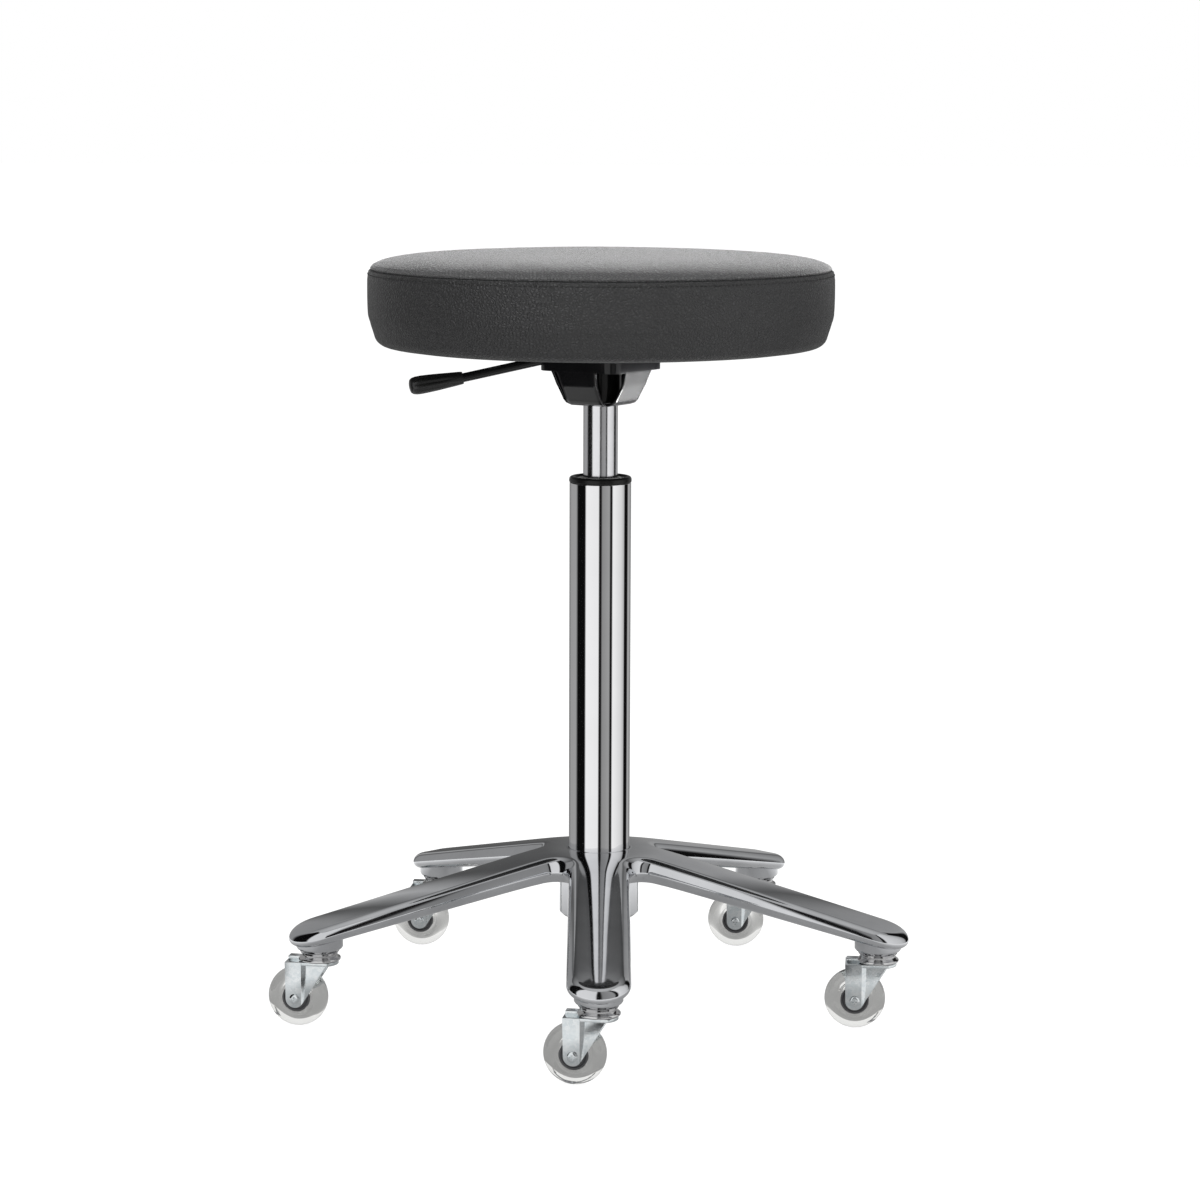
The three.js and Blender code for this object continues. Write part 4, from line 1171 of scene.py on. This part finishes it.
class STOOL_OT_castors(bpy.types.Operator):
    """Assembles the five castors: stem, race, fork, axle bolt, hub and clear tyre"""
    bl_idname = "stool.castors"
    bl_label = "Castors"

    def execute(self, context):
        sizes = context.scene.stool_castors
        for number in range(1, LEGS + 1):
            place = castor_place(number)
            self.stem(place, number)
            self.race(place, number)
            self.fork(place, number, sizes)
            wheel = place @ Matrix.Translation((-castor_trail(), 0, WHEEL_R)) @ Matrix.Rotation(
                math.pi / 2, 4, "X")
            self.axle(wheel, number, sizes)
            self.hub(wheel, number, sizes)
            self.tyre(wheel, number, sizes)
        return {"FINISHED"}

    def stem(self, place, number):
        low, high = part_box(f"castor_stem_{number}")
        crown_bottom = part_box(f"castor_fork_{number}")[1].z - 2.5 * MM
        shank = 5.2 * MM
        bm = turned(
            [(0, low.z)] + arc(7.2 * MM - 2.4 * MM, crown_bottom - 0.9 * MM, 2.3 * MM, -80, 0, 6)
            + [(7.1 * MM, crown_bottom - 0.3 * MM), (shank, crown_bottom - 0.3 * MM),
               (shank, BOSS_BOTTOM - 1.4 * MM), (10 * MM, BOSS_BOTTOM - 1.4 * MM),
               (10 * MM, BOSS_BOTTOM - 0.3 * MM), (shank, BOSS_BOTTOM - 0.3 * MM),
               (shank, high.z - 5 * MM), (0, high.z - 5 * MM)], 32, closed=False)
        piece_from(bm, f"swivel_stem_{number}", "base", "steel", [f"castor_stem_{number}"], place=place)

    def race(self, place, number):
        low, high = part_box(f"castor_race_{number}")
        bore = 5.7 * MM
        bm = turned(                     # a flange, a waist and a rim under the boss
            [(bore, low.z), (14.6 * MM, low.z)]
            + arc(15.6 * MM, low.z + 1.6 * MM, 1.4 * MM, -60, 60, 6)
            + [(15.2 * MM, low.z + 3.4 * MM), (14.2 * MM, low.z + 4.6 * MM), (14.3 * MM, low.z + 5.4 * MM),
               (15.4 * MM, high.z - 0.8 * MM), (15.8 * MM, high.z - 0.3 * MM), (15.5 * MM, high.z),
               (bore, high.z)], 48)
        piece_from(bm, f"ball_race_{number}", f"castor_{number}", "steel",
                   [f"castor_race_{number}"], crease=45, place=place)

    def fork(self, place, number, sizes):
        crown_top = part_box(f"castor_fork_{number}")[1].z
        crown_bottom = crown_top - 2.5 * MM
        bm = bmesh.new()
        for side in (-1, 1):
            join(bm, fork_side(sizes, side, crown_top - 0.2 * MM))
        fork_crown(bm, sizes, crown_bottom, crown_top)
        lug = (Matrix.Translation((-19.5 * MM, 0, crown_top + 1.6 * MM))
               @ Matrix.Diagonal((11 * MM, 8 * MM, 3.4 * MM, 1)))
        bmesh.ops.create_cube(bm, size=1, matrix=lug)
        outward(bm)
        soften(bm, 0.5 * MM, 3, angle=40)
        piece_from(bm, f"pressed_fork_{number}", f"castor_{number}", "zinc",
                   [f"castor_fork_{number}"], place=place)

    def axle(self, place, number, sizes):
        """A bolt right through, with a domed cross-recessed head on both ends."""
        reach = sizes.fork_half + 0.3 * MM
        head, rise, shank = 4.2 * MM, 1.9 * MM, 3 * MM
        dome = [(head, reach), (head, reach + 0.7 * MM), (head - 0.7 * MM, reach + 1.5 * MM),
                (2.6 * MM, reach + rise)]
        bm = turned(
            [(2.6 * MM, -reach - rise)] + [(r, -z) for r, z in reversed(dome[:-1])]
            + [(shank, -reach), (shank, reach)] + dome, 24, closed=False)
        for end in (-1, 1):
            self.cross_recess(bm, end * (reach + rise), end * 1.1 * MM)
        piece_from(bm, f"axle_bolt_{number}", f"castor_{number}", "zinc",
                   [f"castor_axle_{number}"], place=place)

    def cross_recess(self, bm, height, depth):
        """Closes a bolt's end round a cross-shaped recess."""
        rim = [e for e in bm.edges if e.is_boundary and abs(e.verts[0].co.z - height) < 1e-6]
        arm, slot = 2 * MM, 0.5 * MM
        quarter = [(arm, -slot), (arm, slot), (slot, slot)]
        points = []
        for k in range(4):
            spin = Matrix.Rotation(k * math.pi / 2, 2)
            points += [spin @ Vector(point) for point in quarter]
        verts = [bm.verts.new((p.x, p.y, height)) for p in points]
        cross = [bm.edges.new((a, b)) for a, b in zip(verts, verts[1:] + verts[:1])]
        bmesh.ops.triangle_fill(bm, edges=rim + cross, use_beauty=True)
        inner = [f for f in bm.faces if abs(f.calc_center_median().z - height) < 1e-6
                 and all(v in verts for v in f.verts)]
        bmesh.ops.delete(bm, geom=inner, context="FACES")
        wall = raise_edges(bm, [e for e in cross if e.is_valid], -depth)
        floor = [item for item in wall if isinstance(item, bmesh.types.BMEdge) and item.is_boundary]
        bmesh.ops.triangle_fill(bm, edges=floor, use_beauty=True)

    def hub(self, place, number, sizes):
        bore, outer = 3.35 * MM, sizes.hub_radius
        half = [(bore, 10 * MM), (5.5 * MM, 10 * MM), (6.2 * MM, 8.6 * MM), (7.4 * MM, 7.4 * MM),
                (9.4 * MM, 7.4 * MM), (9.8 * MM, 8.2 * MM), (outer, 8.2 * MM)]
        bm = turned(half + [(r, -z) for r, z in reversed(half)], 48)
        outward(bm)
        soften(bm, 0.3 * MM, 2)
        piece_from(bm, f"bearing_hub_{number}", f"wheel_{number}", "bearing_grey",
                   [f"castor_hub_{number}"], place=place)

    def tyre(self, place, number, sizes):
        inner, half = sizes.hub_radius + 0.3 * MM, 9 * MM
        tread = arc(WHEEL_R - 7.5 * MM, 0, 7.5 * MM, 0, 60, 8)
        stretch = half / (7.5 * MM)
        upper = [(r, z * stretch) for r, z in tread] + [
            (18 * MM, half), (15.5 * MM, half - 0.2 * MM), (14.6 * MM, half - 1.1 * MM),
            (13.2 * MM, half - 1.1 * MM), (inner, half - 0.9 * MM)]
        bm = turned(upper + [(r, -z) for r, z in reversed(upper[1:])], 96)
        piece_from(bm, f"clear_tyre_{number}", f"wheel_{number}", "clear_tyre",
                   [f"castor_tyre_{number}"], crease=60, place=place)


# ---------------------------------------------------------------- nodes that stay as they are
class STOOL_OT_inner_parts(bpy.types.Operator):
    """Gives the working parts inside the column and the seat their own finish"""
    bl_idname = "stool.inner_parts"
    bl_label = "Inner Parts"

    def execute(self, context):
        for part in frame["record"]["subparts"]:
            mesh = frame["nodes"][part["node"]].data
            mesh.materials.clear()
            mesh.materials.append(finish(part["material_slot"]))
        return {"FINISHED"}


# ---------------------------------------------------------------- stage
def emission_material(name):
    material = bpy.data.materials.new(name)
    material.use_nodes = True
    tree = material.node_tree
    tree.nodes.remove(tree.nodes["Principled BSDF"])
    glow = add(tree, "ShaderNodeEmission")
    tree.links.new(glow.outputs["Emission"], tree.nodes["Material Output"].inputs["Surface"])
    return material, tree, glow


def link_stage(name, mesh, material):
    thing = bpy.data.objects.new(name, mesh)
    bpy.context.scene.collection.objects.link(thing)
    mesh.materials.append(material)
    return thing


def only_in_reflections(thing):
    thing.visible_camera = False
    thing.visible_diffuse = False
    thing.visible_transmission = False
    thing.visible_shadow = False
    thing.visible_volume_scatter = False


# Brightness of the reflector ring by the bearing from the camera's side, degrees towards +X.
TENT_STRIPS = (
    (-180, 0.2), (-172, 0.12), (-158, 0.1), (-152, 0.5), (-146, 0.1), (-140, 0.34), (-100, 0.36),
    (-90, 0.004), (-57, 0.004),
    (-52, 0.95), (-6, 0.9), (-3, 0.01), (4, 0.01), (8, 0.28), (34, 0.36), (38, 0.005), (44, 0.005),
    (48, 0.95), (84, 0.75), (98, 0.5), (102, 0.005), (120, 0.006), (128, 0.45),
    (146, 0.3), (152, 0.12), (158, 0.4), (168, 0.36), (180, 0.2),
)


class STOOL_OT_stage(bpy.types.Operator):
    """Sets the pale floor, the soft light, the reflector ring and the camera"""
    bl_idname = "stool.stage"
    bl_label = "Stage"

    def execute(self, context):
        sizes = context.scene.stool_stage
        self.floor()
        self.tent(sizes)
        self.lights()
        self.world()
        self.camera(sizes)
        context.scene.view_settings.view_transform = "Standard"
        return {"FINISHED"}

    def floor(self):
        bm = bmesh.new()
        bmesh.ops.create_grid(bm, x_segments=1, y_segments=1, size=30)
        mesh = bpy.data.meshes.new("floor")
        bm.to_mesh(mesh)
        bm.free()
        material, tree, shader = new_material("pale_floor", Roughness=0.6)
        shader.inputs["Base Color"].default_value = (0.2, 0.2, 0.2, 1)
        shader.inputs["Specular IOR Level"].default_value = 0.0
        shader.inputs["Emission Color"].default_value = (1, 1, 1, 1)
        # Painted shade: in reflections the floor glows less near the stool, as if shaded by it; the camera
        # sees it evenly white.
        path = add(tree, "ShaderNodeLightPath")
        away = add(tree, "ShaderNodeVectorMath", {0: object_place(tree)}, operation="LENGTH").outputs["Value"]
        painted_shade_near_stool = math_node(
            tree, "MULTIPLY", path.outputs["Is Glossy Ray"], map_range(tree, away, 0.73, 0.1, 0.28, 0.5))
        glow = map_range(tree, painted_shade_near_stool, 0.95, 0.0, 0.0, 0.95)
        tree.links.new(glow, shader.inputs["Emission Strength"])
        link_stage("floor", mesh, material)

    def tent(self, sizes):
        low_top = 0.6                    # behind the column the ring ends under the seat
        heights = (0.001, low_top, sizes.tent_height)
        bm = turned([(sizes.tent_radius, height) for height in heights], 96, closed=False)
        middles = [(face, face.calc_center_median()) for face in bm.faces]
        tall = [face for face, centre in middles if centre.z > low_top and centre.y > 0.03]
        bmesh.ops.delete(bm, geom=tall, context="FACES")
        mesh = bpy.data.meshes.new("reflector_ring")
        bm.to_mesh(mesh)
        bm.free()
        material, tree, glow = emission_material("reflector_ring")
        place = add(tree, "ShaderNodeSeparateXYZ", {"Vector": object_place(tree)})
        behind = math_node(tree, "MULTIPLY", place.outputs["Y"], -1.0)
        bearing = math_node(tree, "ARCTAN2", place.outputs["X"], behind)
        share = map_range(tree, bearing, 0.0, 1.0, -math.pi, math.pi)
        levels = level_ramp(tree, share, [((degrees + 180) / 360, level) for degrees, level in TENT_STRIPS])
        tree.links.new(levels, glow.inputs["Color"])
        only_in_reflections(link_stage("reflector_ring", mesh, material))

    def lights(self):
        for name, place, size, power, lit in (
                ("key_light", (-1.6, -1.8, 2.4), 1.6, 26.0, ()),
                ("fill_light", (1.9, -1.2, 1.7), 1.4, 14.0, ()),
                ("top_light", (0.2, 0.5, 2.6), 1.8, 26.0, ()),
                ("housing_light", (0.5, 0.26, 0.06), 0.46, 62.0, ("lift_housing",)),
                ("sheen_light", (0.7, 2.6, 0.95), 3.2, 34.0, ("top_panel",)),
                ("patch_light", (0.92, -1.2, 0.5), 0.35, 3.5, ("side_band",)),
                ("edge_light", (-0.5, -1.5, 2.2), 0.8, 22.0,
                 ("top_panel", "side_band", "fluted_grip", "lever_bar", "top_stitching"))):
            data = bpy.data.lights.new(name, "AREA")
            data.shape = "RECTANGLE"
            data.size = size
            data.size_y = min(size, 1.5)
            data.energy = power
            lamp = bpy.data.objects.new(name, data)
            lamp.location = place
            target = Vector((0, 0, 0.5))
            lamp.rotation_euler = (Vector(place) - target).to_track_quat("Z", "Y").to_euler()
            lamp.visible_camera = False
            lamp.visible_glossy = bool(lit)
            bpy.context.scene.collection.objects.link(lamp)
            if lit:
                receivers = bpy.data.collections.new(name)
                for piece in lit:
                    receivers.objects.link(bpy.data.objects[piece])
                lamp.light_linking.receiver_collection = receivers

    def world(self):
        world = bpy.data.worlds.new("studio")
        bpy.context.scene.world = world
        world.use_nodes = True
        tree = world.node_tree
        sky = tree.nodes["Background"]
        path = add(tree, "ShaderNodeLightPath")
        direction = add(tree, "ShaderNodeTexCoord").outputs["Generated"]
        height = add(tree, "ShaderNodeSeparateXYZ", {"Vector": direction}).outputs["Z"]
        levels = level_ramp(tree, height, ((0.0, 0.85), (0.16, 0.5), (0.34, 0.1), (0.62, 0.08), (1.0, 0.6)))
        glossy = add(tree, "ShaderNodeMix", {
            0: path.outputs["Is Glossy Ray"], 6: (0.6, 0.6, 0.6, 1), 7: levels},
            data_type="RGBA")
        clear = math_node(tree, "MAXIMUM", path.outputs["Is Camera Ray"], path.outputs["Is Transmission Ray"])
        seen = add(tree, "ShaderNodeMix", {
            0: clear, 6: glossy.outputs[2], 7: (1, 1, 1, 1)}, data_type="RGBA")
        tree.links.new(seen.outputs[2], sky.inputs["Color"])

    def camera(self, sizes):
        data = bpy.data.cameras.new("camera")
        data.sensor_fit = "HORIZONTAL"
        data.sensor_width = 36
        data.lens = sizes.lens
        camera = bpy.data.objects.new("camera", data)
        camera.matrix_world = (
            Matrix.Translation((0, -sizes.camera_distance, sizes.camera_height))
            @ Matrix.Rotation(math.pi / 2 - sizes.camera_pitch, 4, "X")
            @ Matrix.Rotation(sizes.camera_roll, 4, "Z"))
        bpy.context.scene.collection.objects.link(camera)
        bpy.context.scene.camera = camera


# ---------------------------------------------------------------- panel and registration
class STOOL_PT_parts(bpy.types.Panel):
    """Lists the stool's pieces and their sizes"""
    bl_idname = "STOOL_PT_parts"
    bl_label = "Swivel Stool"
    bl_space_type = "VIEW_3D"
    bl_region_type = "UI"
    bl_category = "Stool"

    def draw(self, context):
        for operator in OPERATORS:
            self.layout.operator(operator.bl_idname)
        for group in SETTINGS:
            box = self.layout.box()
            for name in SETTINGS[group].__annotations__:
                box.prop(getattr(context.scene, group), name)


SETTINGS = {
    "stool_base": BaseSizes, "stool_seat": SeatSizes, "stool_castors": CastorSizes,
    "stool_stage": StageSizes,
}
OPERATORS = (
    STOOL_OT_base, STOOL_OT_column, STOOL_OT_gas_spring, STOOL_OT_housing,
    STOOL_OT_lever, STOOL_OT_cushion, STOOL_OT_underside, STOOL_OT_castors, STOOL_OT_inner_parts,
    STOOL_OT_stage,
)


def register():
    for item in (*SETTINGS.values(), *OPERATORS, STOOL_PT_parts):
        bpy.utils.register_class(item)
    for name, group in SETTINGS.items():
        setattr(bpy.types.Scene, name, PointerProperty(type=group))


def unregister():
    for name in SETTINGS:
        delattr(bpy.types.Scene, name)
    for item in (STOOL_PT_parts, *reversed(OPERATORS), *SETTINGS.values()):
        bpy.utils.unregister_class(item)


def main():
    register()
    for operator in OPERATORS:
        area, name = operator.bl_idname.split(".")
        getattr(getattr(bpy.ops, area), name)()


if __name__ == "__main__":
    main()
